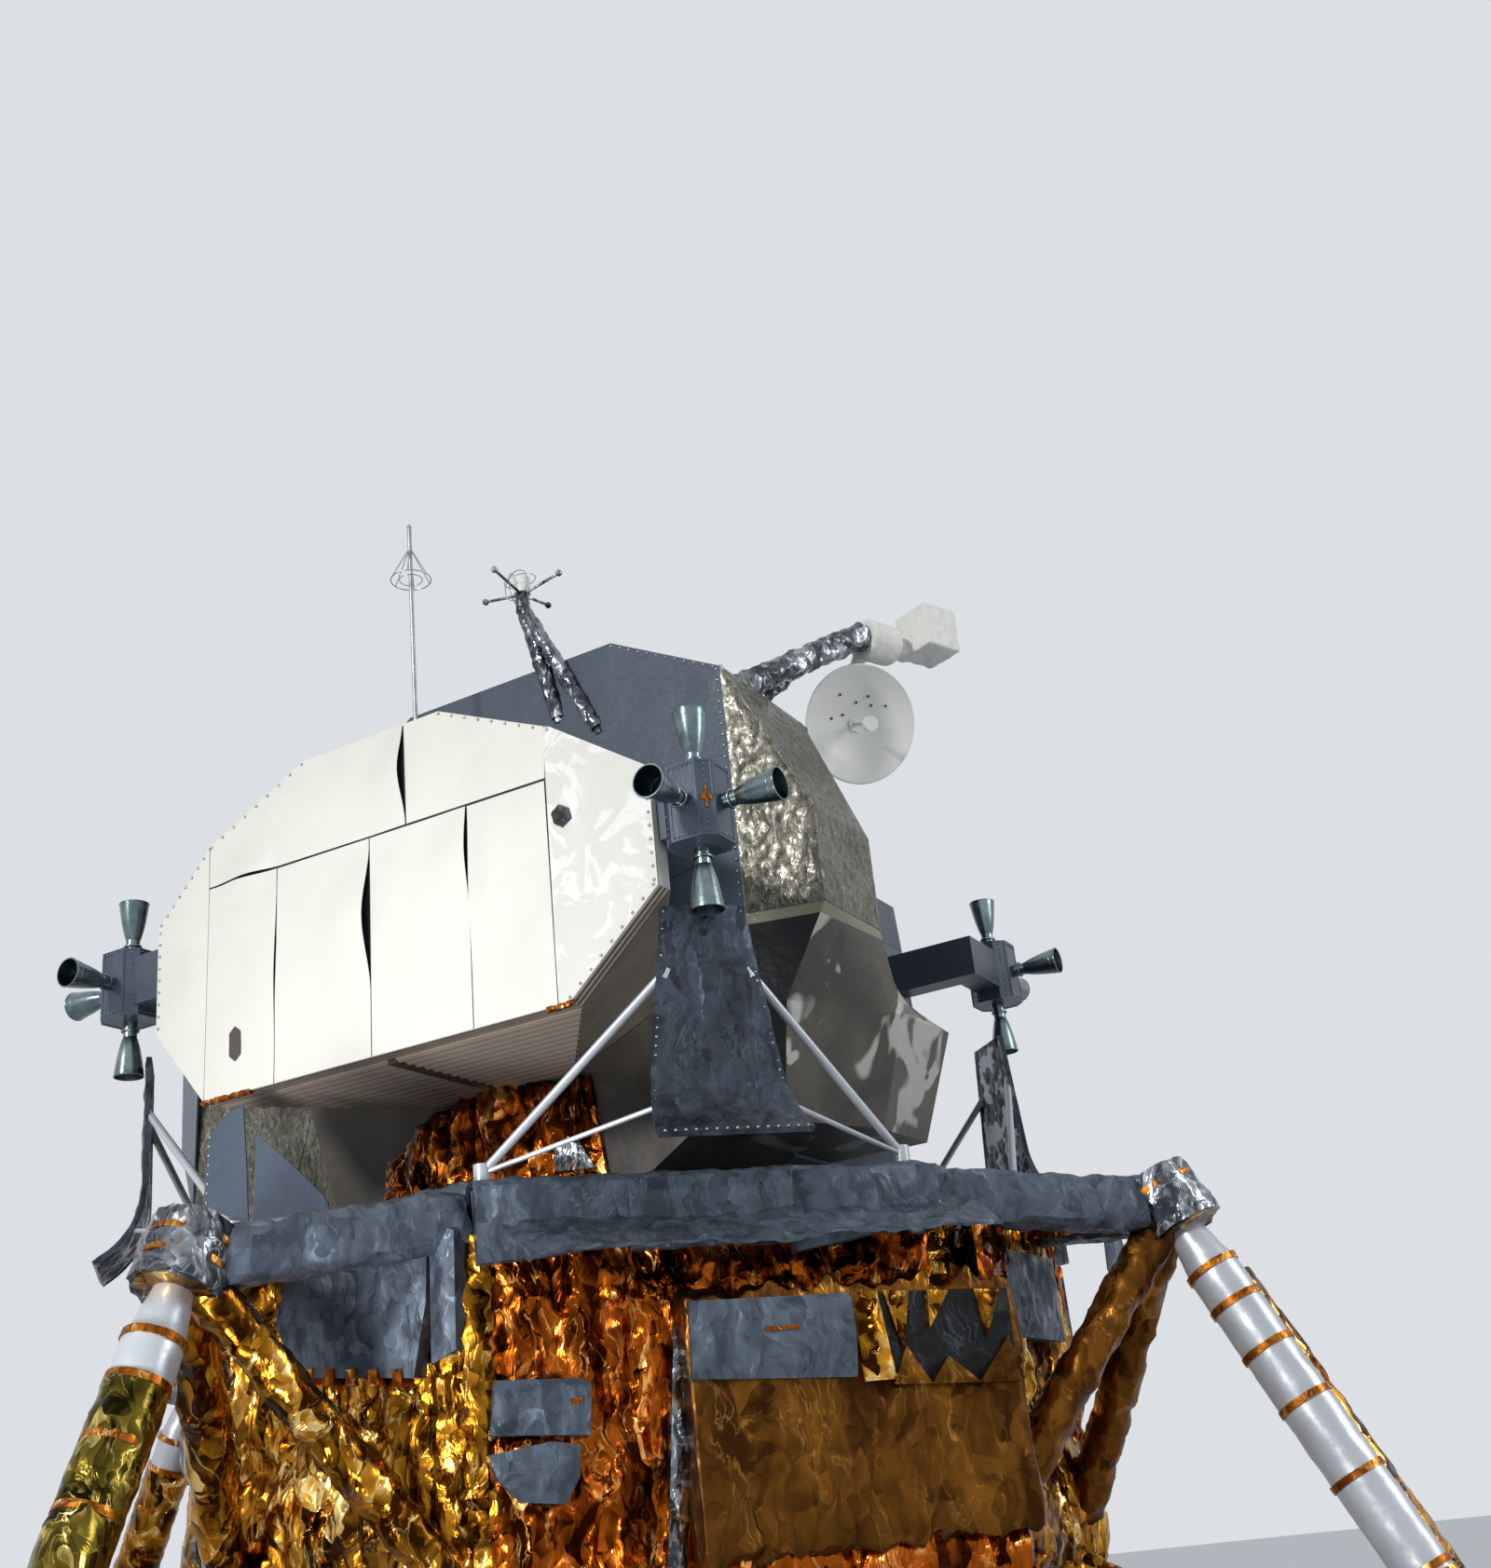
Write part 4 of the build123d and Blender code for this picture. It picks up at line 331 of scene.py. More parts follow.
# %% Painted sheet, plated sheet and bare metal
def paint(name, slot, hex_codes, roughness=0.45, metallic=0.0, grain=0.0006):
    """Painted sheet: an even colour with faint stains and the slight waves of thin metal."""
    base, stain = colours(hex_codes)
    f = Finish(name, Metallic=metallic)
    cloud = f.noise(2.0, 5, 0.62, 0.4)
    speck = f.noise(60, 2, 0.5)
    f.set(f.shader, {"Base_Color": f.mix(f.spread(cloud, 0.42, 0.72, 0.0, 0.5), base, stain),
                     "Roughness": f.spread(speck, 0.3, 0.7, roughness - 0.06, roughness + 0.08)})
    f.bump(f.noise(5.0, 2, 0.4) * 6.0 + speck * 0.4, grain)
    return f.done(slot)


def plated(name, slot, hex_codes, wide=0.52, high=0.46):
    """Sheet in oblong panels of slightly different shades, with dark seams and a row of rivets beside each."""
    light, dark, seam_colour = colours(hex_codes)
    f = Finish(name, Metallic=0.2, Roughness=0.40)
    at = f.node("ShaderNodeSeparateXYZ", Vector=f.place)
    across, up = at["X"] * (1 / wide) + at["Y"] * (0.9 / wide), at["Z"] * (1 / high) + 0.37
    cell = f.node("ShaderNodeCombineXYZ", X=across.math("FLOOR"), Y=up.math("FLOOR"))["Vector"]
    shade = f.node("ShaderNodeTexWhiteNoise", {"noise_dimensions": "2D"}, Vector=cell)["Value"]
    off_across, off_up = across.math("FRACT"), up.math("FRACT")
    seam = (1 - off_across.over(0.012)).either(1 - off_up.over(0.014))
    beside = off_across.over(0.04) * (1 - off_across.over(0.06))
    above = off_up.over(0.045) * (1 - off_up.over(0.068))
    heads = beside.either(above) * (1 - f.folds(30, 0.30))
    cloud = f.spread(f.noise(2.4, 4, 0.6, 0.5), 0.4, 0.62, 0.0, 0.4)
    base = f.mix(cloud, f.mix(shade, light, dark), dark)
    f.set(f.shader, {"Base_Color": f.mix(seam * 0.75, base, seam_colour)})
    f.bump(f.noise(5.0, 3, 0.4) * 5.0 - seam * 4.0 + heads * 1.2, 0.0014)
    return f.done(slot)


def metal(name, slot, hex_codes, roughness=0.3):
    """Bare metal with a heat tint that drifts, and fine marks from turning."""
    base, tint = colours(hex_codes)
    f = Finish(name, Metallic=1.0)
    f.set(f.shader, {"Base_Color": f.mix(f.spread(f.noise(9.0, 4, 0.6), 0.35, 0.65), base, tint),
                     "Roughness": f.spread(f.noise(80, 2), 0.3, 0.7, roughness * 0.75, roughness * 1.3)})
    f.bump(f.noise(220, 2, 0.6), 0.0005)
    return f.done(slot)


def paint_with_painted_glare(name, slot, hex_codes):
    """White skin with painted glare: pale, glossier ripple bands, as where slack film on a flat backing throws
    back light.
    """
    base, glare = colours(hex_codes)
    f = Finish(name)
    ripple = f.noise(3.4, 3, 0.62, 1.2, f.warp(2.2, 0.3))
    # Painted reflection: the ripple bands take the pale glare colour.
    band = f.spread(ripple, 0.50, 0.54) * (1 - f.spread(ripple, 0.58, 0.63))
    f.set(f.shader, {"Base_Color": f.mix(band, base, glare), "Roughness": f.spread(band, 0, 1, 0.4, 0.2)})
    f.bump(ripple, 0.004)
    return f.done(slot)


WHITE_SKIN = paint("white_skin", "white_panel", "d3d1c8 c7c6be", 0.42, grain=0.0009)
# Sheet with painted glare ripples in its colour.
GLARE_RIPPLES = paint_with_painted_glare("mottled_skin", "white_panel", "cbcac3 e0dfd9")
WHITE_PAINT = paint("white_paint", "dish_white", "dedfda cfcfc8", 0.5)
GRAY_SKIN = paint("gray_skin", "gray_panel", "4a5563 3a4350", 0.34, 0.25, 0.0016)
BLUE_SKIN = paint("blue_gray_skin", "gray_panel", "384555 2e3a48", 0.50, 0.05, 0.0010)
DARK_SKIN = paint("dark_skin", "gray_panel", "17191c 0e1012", 0.5, 0.0, 0.0014)
BROWN_SKIN = paint("brown_skin", "gray_panel", "4d4944 383632", 0.34, 0.3, 0.0016)
BROWN_RIBS = paint("ribbed_sheet", "gray_panel", "a3968a b9a58f", 0.34, 0.35)
TUBE_WHITE = paint("tube_white", "bare_metal", "b9bdc2 9aa0a6", 0.33, 0.4)
CLOTH = paint("white_cloth", "white_cover", "dcdcd6 c6c6bf", 0.75, grain=0.003)
PLATE_GRAY = plated("gray_plates", "gray_panel", "566270 333c47 0e1013")
BARE = metal("satin_metal", "bare_metal", "a8abad 8c9093", 0.32)
NOZZLE = metal("nozzle_metal", "nozzle", "8b9a9b 5f7075", 0.24)
BELL = metal("bell_metal", "dark_nozzle", "4a4644 2f2d2c", 0.42)

# %% [markdown]
# ## Finishes of pieces that show more than one skin
#
# A few imported pieces are one solid with several skins on the real craft. Their materials tell the skins apart
# by the height on the craft or by the way that the surface faces. The starboard bay's shell also has painted
# sunlight in pale patches and painted shade on its faces towards the back.


# %% The aft bay's own shell: white outside, ribbed and brownish underneath
def bay_shell():
    """White skin whose underside is ribbed sheet without paint."""
    white, brown, pale_brown = colours("cfcec6 a39b90 bdb19f")
    f = Finish("bay_shell")
    under = (0 - f.facing("Z")).over(0.6)
    bands = {"wave_type": "BANDS", "bands_direction": "Y", "wave_profile": "SIN"}
    ribs = f.node("ShaderNodeTexWave", bands, Vector=f.place, Scale=9.8)["Fac"]
    bare = f.mix(f.spread(f.noise(2.4, 4, 0.6, 0.5), 0.35, 0.65), brown, pale_brown)
    f.set(f.shader, {"Base_Color": f.mix(under, white, bare), "Metallic": under * 0.6,
                     "Roughness": 0.42 - under * 0.12})
    f.bump(ribs * under, 0.006)
    return f.done("white_panel")


# %% The midsection's own shell: blue-gray above, brown-gray below
BROWN_BELOW = 4.42


def midsection_shell():
    """Blue-gray sheet that turns brown-gray under the aft bay."""
    blue, dark, light = colours("3f4c5c 322e2b 4c4741")
    f = Finish("midsection_shell", Metallic=0.15, Roughness=0.42)
    low = 1 - f.height().over(BROWN_BELOW)
    cloud = f.spread(f.noise(1.8, 4, 0.6, 0.6), 0.4, 0.6)
    f.set(f.shader, {"Base_Color": f.mix(low, blue, f.mix(cloud, dark, light))})
    f.bump(f.noise(6, 3, 0.5), 0.006)
    return f.done("gray_panel")


# %% The thruster groups: a gray box and arm, and bells with a heat tint
QUAD_Z = 4.699


def thruster_shell():
    """Gray inside the box of the housing and along its arm; heat-tinted metal on the bells."""
    metal_colour, tint, gray = colours("8b9a9b 5f7075 434c58")
    f = Finish("thruster_shell")
    at = f.node("ShaderNodeSeparateXYZ", Vector=f.place)
    level = at["Z"] - QUAD_Z
    out = (0 - at["X"]).either(at["X"]).either(at["Y"]).either(0 - at["Y"])
    box = (1 - out.over(1.81)) * (1 - level.either(0 - level).over(0.18))
    cloud = f.spread(f.noise(9, 4, 0.6), 0.35, 0.65)
    f.set(f.shader, {"Base_Color": f.mix(box, f.mix(cloud, metal_colour, tint), gray),
                     "Metallic": 1 - box * 0.8, "Roughness": 0.24 + box * 0.14})
    f.bump(f.noise(220, 2, 0.6), 0.0005)
    return f.done("nozzle")


# %% The starboard bay's own shell: silvery above, brown-gray below, with painted light and painted shade
SILVER_ABOVE = 4.46


def starboard_shell():
    """Silvered above; below, brown-gray sheet with painted sunlit patches, and painted shade on faces towards the
    back.
    """
    silver, brown, light_brown, sun, dark = colours("85866f 4a4742 5d5952 c9c7c0 1b1c20")
    f = Finish("starboard_shell", Metallic=0.45, Roughness=0.34)
    low = 1 - f.height().over(SILVER_ABOVE)
    # Painted shade: faces towards the back get a near-black colour.
    aft = f.facing("Y").over(0.55)
    # Painted light: pale sunlit patches on the lower faces that don't face back.
    sunlit = f.spread(f.noise(2.6, 2, 0.5, 1.0), 0.56, 0.60) * (1 - aft)
    lower = f.mix(f.spread(f.noise(2.0, 4, 0.6, 0.8), 0.4, 0.6), brown, light_brown)
    lower = f.mix(sunlit * 0.75, lower, sun)
    f.set(f.shader, {"Base_Color": f.mix(low, silver, f.mix(aft, lower, dark))})
    f.bump(f.noise(7, 4, 0.6), 0.006)
    return f.done("silver_foil")


# %% The window panes
def pane_glass():
    """Coated glass: a dark mirror with a faint violet cast."""
    dark, violet = colours("14171c 252231")
    f = Finish("pane_glass", Metallic=0.0, Coat_Weight=1.0)
    f.set(f.shader, {"Base_Color": f.mix(f.noise(2.5, 2), dark, violet),
                     "Roughness": f.spread(f.noise(40, 2), 0.3, 0.7, 0.04, 0.09)})
    return f.done("glass")

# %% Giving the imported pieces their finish
LEGS = {"aft": 90, "starboard": 180, "forward": 270, "port": 0}
QUADS = {"aft_starboard": 135, "aft_port": 45, "forward_starboard": 225, "forward_port": 315}
SHARED = (
    (bay_shell(), "aft_equipment_bay"), (midsection_shell(), "midsection"),
    (starboard_shell(), "starboard_tank_bay"), (pane_glass(), "window_glass"),
    (WHITE_SKIN, "overhead_hatch"), (WHITE_PAINT, "s_band_dish radar_dish docking_target landing_radar"),
    (PLATE_GRAY, "front_cabin forward_midsection"), (GRAY_SKIN, "forward_hatch radar_yoke porch"),
    (SILVER, "port_tank_bay base_heat_shield"), (CLOTH, "s_band_arm"),
    (SILVER_WRAP, "aft_vhf_antenna forward_vhf_antenna s_band_boom radar_pedestal"),
    (GOLD, "descent_body equipment_pallet"), (BROWN, "aft_locker"),
    (SHEET_GRAY, "upper_deck"), (BLANKET, "aft_awning"), (BELL, "descent_engine"), (NOZZLE, "ascent_engine"),
    (BARE, "engine_gimbal_ring landing_probes landing_radar_mount ladder docking_tunnel stage_fittings"),
    (BARE, "eva_bracket eva_antenna"), (TUBE_WHITE, " ".join(f"{quad}_deflector" for quad in QUADS)),
    (thruster_shell(), " ".join(f"{quad}_thrusters" for quad in QUADS)),
)
FINISHES = {node: material for material, nodes in SHARED for node in nodes.split()}
for leg in LEGS:
    for bars in ("outrigger", "primary_strut", "side_struts", "footpad"):
        FINISHES[f"{leg}_{bars}"] = GOLD
for node, piece in NODES.items():
    piece.data.materials.clear()
    piece.data.materials.append(FINISHES[node])

# %% [markdown]
# ## Hand tools
#
# Every added skin goes through the same few moves: lay a grid on a face of the craft, cut it to its outline,
# crumple it with displacement, and fold its rim back onto what carries it. Displacement needs evenly spread
# corners, so flat skins start as grids, wraps start as finely cut cylinders, and a skin over a whole housing
# is a remeshed copy of it. Crumpling fades out at the rim, so that two skins that meet still meet.

# %% Selecting, crumpling and settling
def alone(piece):
    """Selects one piece and nothing else."""
    bpy.ops.object.select_all(action="DESELECT")
    piece.select_set(True)
    bpy.context.view_layer.objects.active = piece


def fresh():
    """Selects nothing, before a call that makes a new piece."""
    bpy.ops.object.select_all(action="DESELECT")


def modify(piece, kind, **settings):
    """Adds a modifier, sets it and applies it."""
    alone(piece)
    modifier = piece.modifiers.new(kind.lower(), kind)
    for key, value in settings.items():
        setattr(modifier, key, value)
    bpy.ops.object.modifier_apply(modifier=modifier.name)


def crumple(piece, waves, group=""):
    """Pushes the surface in and out by waves: a texture's kind, its size, its strength and how far it is squashed
    upwards, which makes its folds tall."""
    for kind, size, strength, *tall in waves:
        texture = bpy.data.textures.new("wave", kind)
        texture.noise_scale = size
        if kind == "VORONOI":
            texture.distance_metric = "MANHATTAN"
        if kind == "MUSGRAVE":
            texture.musgrave_type = "RIDGED_MULTIFRACTAL"
        squash = Matrix.Diagonal((1, 1, tall[0] if tall else 1, 1))
        piece.data.transform(squash)
        modify(piece, "DISPLACE", texture=texture, texture_coords="LOCAL", strength=strength, mid_level=0.4,
               vertex_group=group)
        piece.data.transform(squash.inverted())


def settle(piece, name, material, body="craft", smooth=30):
    """Gives a finished piece its name, finish, shading and the body that it moves with."""
    piece.name = piece.data.name = name
    piece.data.materials.clear()
    piece.data.materials.append(material)
    alone(piece)
    bpy.ops.object.shade_smooth_by_angle(angle=math.radians(smooth))
    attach(piece, body)
    return piece


def join(pieces, name):
    """Joins pieces of one finish into the first one."""
    alone(pieces[0])
    for piece in pieces[1:]:
        piece.select_set(True)
    if len(pieces) > 1:
        bpy.ops.object.join()
    pieces[0].name = pieces[0].data.name = name
    return pieces[0]


# %% Places and planes
def along(start, end, count):
    """Places spread evenly from start to end."""
    start, end = Vector(start), Vector(end)
    return [start.lerp(end, i / (count - 1)) for i in range(count)]


def sides(corners):
    """The sides of a closed outline, each with its two ends."""
    return zip(corners, corners[1:] + corners[:1])


def block(left, right, low, high):
    """An oblong outline."""
    return [(left, low), (right, low), (right, high), (left, high)]


def placing(across, up, origin):
    """The matrix that lays local X along across and local Y along up, with local Z facing out."""
    across = Vector(across).normalized()
    out = across.cross(Vector(up)).normalized()
    turn = Matrix((across, out.cross(across), out)).transposed().to_4x4()
    turn.translation = origin
    return turn


def leg_place(heading, out, side, z):
    """A place by its distance out along a heading, its side and its height."""
    a = math.radians(heading)
    return Vector((out * math.cos(a) - side * math.sin(a), out * math.sin(a) + side * math.cos(a), z))


def face_at(heading, out):
    """An upright face that looks out along a heading: local X is the side, local Y the height."""
    return placing(leg_place(heading, 0, 1, 0), UP, leg_place(heading, out, 0, 0))


# %% Skins on flat faces
FOIL_WAVES = (("CLOUDS", 0.50, 0.07), ("MUSGRAVE", 0.22, 0.030, 0.45), ("VORONOI", 0.18, 0.060, 0.35),
              ("VORONOI", 0.08, 0.022, 0.5), ("VORONOI", 0.045, 0.008))
BLANKET_WAVES = (("CLOUDS", 0.45, 0.035), ("VORONOI", 0.13, 0.012), ("VORONOI", 0.06, 0.006))
SHEET_WAVES = (("CLOUDS", 0.8, 0.012), ("CLOUDS", 0.25, 0.004))
RIM_STEPS = 10


def cut_to(piece, outline):
    """Trims a flat piece to an outline with no hollow corners, given the way the clock doesn't turn."""
    alone(piece)
    bpy.ops.object.mode_set(mode="EDIT")
    for (u, v), (next_u, next_v) in sides(outline):
        bpy.ops.mesh.select_all(action="SELECT")
        bpy.ops.mesh.bisect(plane_co=(u, v, 0), plane_no=(next_v - v, u - next_u, 0), clear_outer=True)
    bpy.ops.object.mode_set(mode="OBJECT")


def ease_rim(piece, outline, soft):
    """A vertex group that rises from 0 at the outline to 1 at the distance soft inside it."""
    corners = np.empty(len(piece.data.vertices) * 3, np.float32)
    piece.data.vertices.foreach_get("co", corners)
    corners = corners.reshape(-1, 3)[:, :2]
    near = np.full(len(corners), 1e9)
    for start, end in sides(outline):
        run = np.subtract(end, start)
        near = np.minimum(near, np.abs(np.cross(run, corners - start)) / np.hypot(*run))
    level = np.round(np.clip(near / soft, 0, 1) * RIM_STEPS).astype(int)
    group = piece.vertex_groups.new(name="inner")
    for step in range(RIM_STEPS + 1):
        group.add(np.flatnonzero(level == step).tolist(), step / RIM_STEPS, "REPLACE")


def close_rim(piece, back):
    """Folds the open rim back by a vector and closes it behind."""
    alone(piece)
    bpy.ops.object.mode_set(mode="EDIT")
    bpy.ops.mesh.select_mode(type="EDGE")
    bpy.ops.mesh.select_all(action="DESELECT")
    bpy.ops.mesh.select_non_manifold(extend=False, use_wire=False, use_boundary=True, use_multi_face=False,
                                     use_non_contiguous=False, use_verts=False)
    bpy.ops.mesh.extrude_edges_move(TRANSFORM_OT_translate={"value": tuple(back)})
    bpy.ops.mesh.edge_face_add()
    bpy.ops.mesh.select_mode(type="VERT")
    bpy.ops.mesh.select_all(action="SELECT")
    bpy.ops.mesh.normals_make_consistent(inside=False)
    bpy.ops.object.mode_set(mode="OBJECT")


def grid_on(outline, step):
    """A flat grid that covers an outline, cut to it."""
    lows = [min(p[k] for p in outline) for k in (0, 1)]
    highs = [max(p[k] for p in outline) for k in (0, 1)]
    wide, high = (highs[k] - lows[k] for k in (0, 1))
    fresh()
    bpy.ops.mesh.primitive_grid_add(x_subdivisions=max(2, round(wide / step)),
                                    y_subdivisions=max(2, round(high / step)), size=1)
    piece = bpy.context.object
    middle = Matrix.Translation(((lows[0] + highs[0]) / 2, (lows[1] + highs[1]) / 2, 0))
    piece.data.transform(middle @ Matrix.Diagonal((wide, high, 1, 1)))
    cut_to(piece, outline)
    return piece


def skin(name, at, outline, material, waves=(), lift=0.012, back=0.02, step=0.02, soft=0.05, smooth=30):
    """A crumpled skin on a flat face: its outline is in the face's own side and height."""
    piece = grid_on(outline, step)
    ease_rim(piece, outline, soft)
    piece.data.transform(at @ Matrix.Translation((0, 0, lift)))
    crumple(piece, waves, "inner")
    close_rim(piece, at.to_3x3() @ Vector((0, 0, -back - lift)))
    return settle(piece, name, material, smooth=smooth)


def hanging(name, at, outline, material, waves, thick=0.006, step=0.02, soft=0.04):
    """A loose flap: a crumpled sheet with a little thickness, open to the air on both sides."""
    piece = grid_on(outline, step)
    ease_rim(piece, outline, soft)
    piece.data.transform(at)
    crumple(piece, waves, "inner")
    modify(piece, "SOLIDIFY", thickness=thick, offset=0.0)
    return settle(piece, name, material)


def panel(name, corners, material, waves=(), **settings):
    """A skin on the plane through its corners, which are places on the craft in the order seen from outside."""
    corners = [Vector(corner) for corner in corners]
    across = (corners[1] - corners[0]).normalized()
    out = across.cross(corners[-1] - corners[0]).normalized()
    at = placing(across, out.cross(across), corners[0])
    outline = [tuple((at.inverted() @ corner)[:2]) for corner in corners]
    return skin(name, at, outline, material, waves, **settings)


def pull(piece, near, push, reach):
    """Drags the corner nearest to a place by a vector, and what lies within reach of it less and less."""
    alone(piece)
    nearest = min(piece.data.vertices, key=lambda v: (v.co - Vector(near)).length).index
    bpy.ops.object.mode_set(mode="EDIT")
    bpy.ops.mesh.select_all(action="DESELECT")
    bpy.ops.object.mode_set(mode="OBJECT")
    piece.data.vertices[nearest].select = True
    bpy.ops.object.mode_set(mode="EDIT")
    bpy.ops.transform.translate(value=tuple(push), use_proportional_edit=True, proportional_size=reach,
                                proportional_edit_falloff="SMOOTH")
    bpy.ops.object.mode_set(mode="OBJECT")


# %% Wraps on bars and over whole housings
def pick_edges(piece, wanted):
    """Opens a piece for editing with only the edges selected whose two corners pass a test."""
    bpy.ops.object.mode_set(mode="EDIT")
    bpy.ops.mesh.select_mode(type="EDGE")
    bpy.ops.mesh.select_all(action="DESELECT")
    bpy.ops.object.mode_set(mode="OBJECT")
    for edge in piece.data.edges:
        first, second = (piece.data.vertices[i].co for i in edge.vertices)
        edge.select = wanted(first, second)
    bpy.ops.object.mode_set(mode="EDIT")


def bar_wrap(name, start, end, radius, material, waves=(), sides=24, step=0.03, square=0.0, body="craft",
             end_radius=None):
    """A wrapped bar: a finely cut cylinder or cone between two places, crumpled; square makes it a beam."""
    start, end = Vector(start), Vector(end)
    run = end - start
    fresh()
    bpy.ops.mesh.primitive_cone_add(vertices=sides, radius1=radius, radius2=end_radius or radius,
                                    depth=run.length, end_fill_type="NGON")
    piece = bpy.context.object
    pick_edges(piece, lambda first, second: (first.z > 0) != (second.z > 0))
    bpy.ops.mesh.subdivide(number_cuts=max(1, round(run.length / step)))
    bpy.ops.object.mode_set(mode="OBJECT")
    if square:
        for vertex in piece.data.vertices:
            x, y = vertex.co.x, vertex.co.y
            corner = max(abs(x), abs(y)) / max(math.hypot(x, y), 1e-6)
            vertex.co.x = x * (1 - square + square / corner * 0.86)
            vertex.co.y = y * (1 - square + square / corner * 0.86)
    out = run.normalized()
    across = out.orthogonal().normalized() if abs(out.z) > 0.9 else UP.cross(out).normalized()
    piece.data.transform(placing(across, out.cross(across), (start + end) / 2))
    crumple(piece, waves)
    return settle(piece, name, material, body)


def over_node(node, name, material, waves, voxel, body="craft", floor=None):
    """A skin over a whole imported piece: a copy of it, remeshed evenly and crumpled, which then stands for it."""
    piece = bpy.data.objects.new(name, NODES[node].data.copy())
    bpy.context.scene.collection.objects.link(piece)
    alone(piece)
    bpy.ops.object.mode_set(mode="EDIT")
    bpy.ops.mesh.select_all(action="SELECT")
    bpy.ops.mesh.remove_doubles(threshold=0.00005)
    bpy.ops.object.mode_set(mode="OBJECT")
    modify(piece, "REMESH", mode="VOXEL", voxel_size=voxel)
    group = ""
    if floor is not None:
        group = "raised"
        above = [v.index for v in piece.data.vertices if v.co.z > floor]
        piece.vertex_groups.new(name=group).add(above, 1.0, "REPLACE")
    crumple(piece, waves, group)
    settle(piece, name, material, body)
    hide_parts(node)
    return piece


# %% Rivets, rings and frames
def rivets(name, places, out, radius, material, body="craft"):
    """Domed heads at a list of places, all facing out, as one piece."""
    fresh()
    bpy.ops.mesh.primitive_uv_sphere_add(segments=8, ring_count=6, radius=radius)
    heads = [bpy.context.object]
    for _ in places[1:]:
        heads.append(bpy.data.objects.new("head", heads[0].data.copy()))
        bpy.context.scene.collection.objects.link(heads[-1])
    turn = Vector(out).to_track_quat("Z", "Y").to_matrix().to_4x4() @ Matrix.Diagonal((1, 1, 0.6, 1))
    for head, place in zip(heads, places):
        head.data.transform(Matrix.Translation(place) @ turn)
    return settle(join(heads, name), name, material, body, 60)


def hoop(name, middle, way, radius, thick, material, body="craft", sides=28):
    """A thin ring round an axis."""
    fresh()
    bpy.ops.mesh.primitive_torus_add(major_radius=radius, minor_radius=thick, major_segments=sides,
                                     minor_segments=6)
    ring = bpy.context.object
    turn = Vector(way).to_track_quat("Z", "Y").to_matrix().to_4x4()
    ring.data.transform(Matrix.Translation(middle) @ turn)
    return settle(ring, name, material, body, 60)


def tape_rings(name, start, end, shares, radius, wide=0.028):
    """Rings of amber tape round a bar, at shares of its length, joined as one piece."""
    start, end = Vector(start), Vector(end)
    half = (end - start).normalized() * wide / 2
    middles = [start.lerp(end, share) for share in shares]
    return join([bar_wrap("ring", middle - half, middle + half, radius, TAPE, (("VORONOI", 0.05, 0.003),), 28,
                          wide / 2) for middle in middles], name)


def frame_bars(name, corners, thick, material):
    """Round bars along the sides of an outline on the craft, joined as one frame."""
    bars = [bar_wrap("bar", start, end, thick, material, (), 10, 0.2) for start, end in sides(corners)]
    return join(bars, name)


print("tools ready")

# %% [markdown]
# ## Lower stage: foil on its eight faces
#
# Each face of the octagon carries loose amber film, hung in sheets from the deck's edge and crumpled between
# its fasteners. The four end faces are narrow and the four diagonal ones are wide. The face with the
# equipment pallet keeps an open frame, because the pallet swings out of it.

# %% The octagon's measures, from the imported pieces
DECK_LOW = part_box("descent_body")[0].z
DECK_TOP = 3.226
STAGE_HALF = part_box("descent_body")[1].x
END_HALF = 0.686
DIAGONAL_OUT = (STAGE_HALF + END_HALF) / math.sqrt(2)
CORNER_SIDE = (STAGE_HALF - END_HALF) / math.sqrt(2)
PALLET_SIDE, PALLET_LOW, PALLET_TOP = 0.625, 1.70, 2.745
HINGE_ROOM = 0.12
FOIL_TOP = DECK_TOP - 0.09
FACE_FOIL = {0: GOLD, 45: GOLD, 90: GOLD, 135: ORANGE, 180: GOLD, 225: ORANGE, 270: BROWN, 315: GOLD}


def stage_face(heading):
    """The plane of one face of the lower stage."""
    return face_at(heading, STAGE_HALF if heading % 90 == 0 else DIAGONAL_OUT)


# %% Foil
for heading, material in FACE_FOIL.items():
    half = END_HALF if heading % 90 == 0 else CORNER_SIDE
    strips = {"face": block(-half, half, DECK_LOW, FOIL_TOP)}
    if heading == QUADS["forward_port"]:
        strips = {
            "left": block(-half, -PALLET_SIDE, DECK_LOW, DECK_TOP),
            "right": block(PALLET_SIDE, half, DECK_LOW, DECK_TOP),
            "top": block(-PALLET_SIDE, PALLET_SIDE, PALLET_TOP, DECK_TOP),
            "foot": block(-PALLET_SIDE, PALLET_SIDE, DECK_LOW, PALLET_LOW - HINGE_ROOM),
        }
    for part, outline in strips.items():
        skin(f"foil_{heading}_{part}", stage_face(heading), outline, material, FOIL_WAVES, lift=0.02, soft=0.08)
print("foil faces:", len(FACE_FOIL))

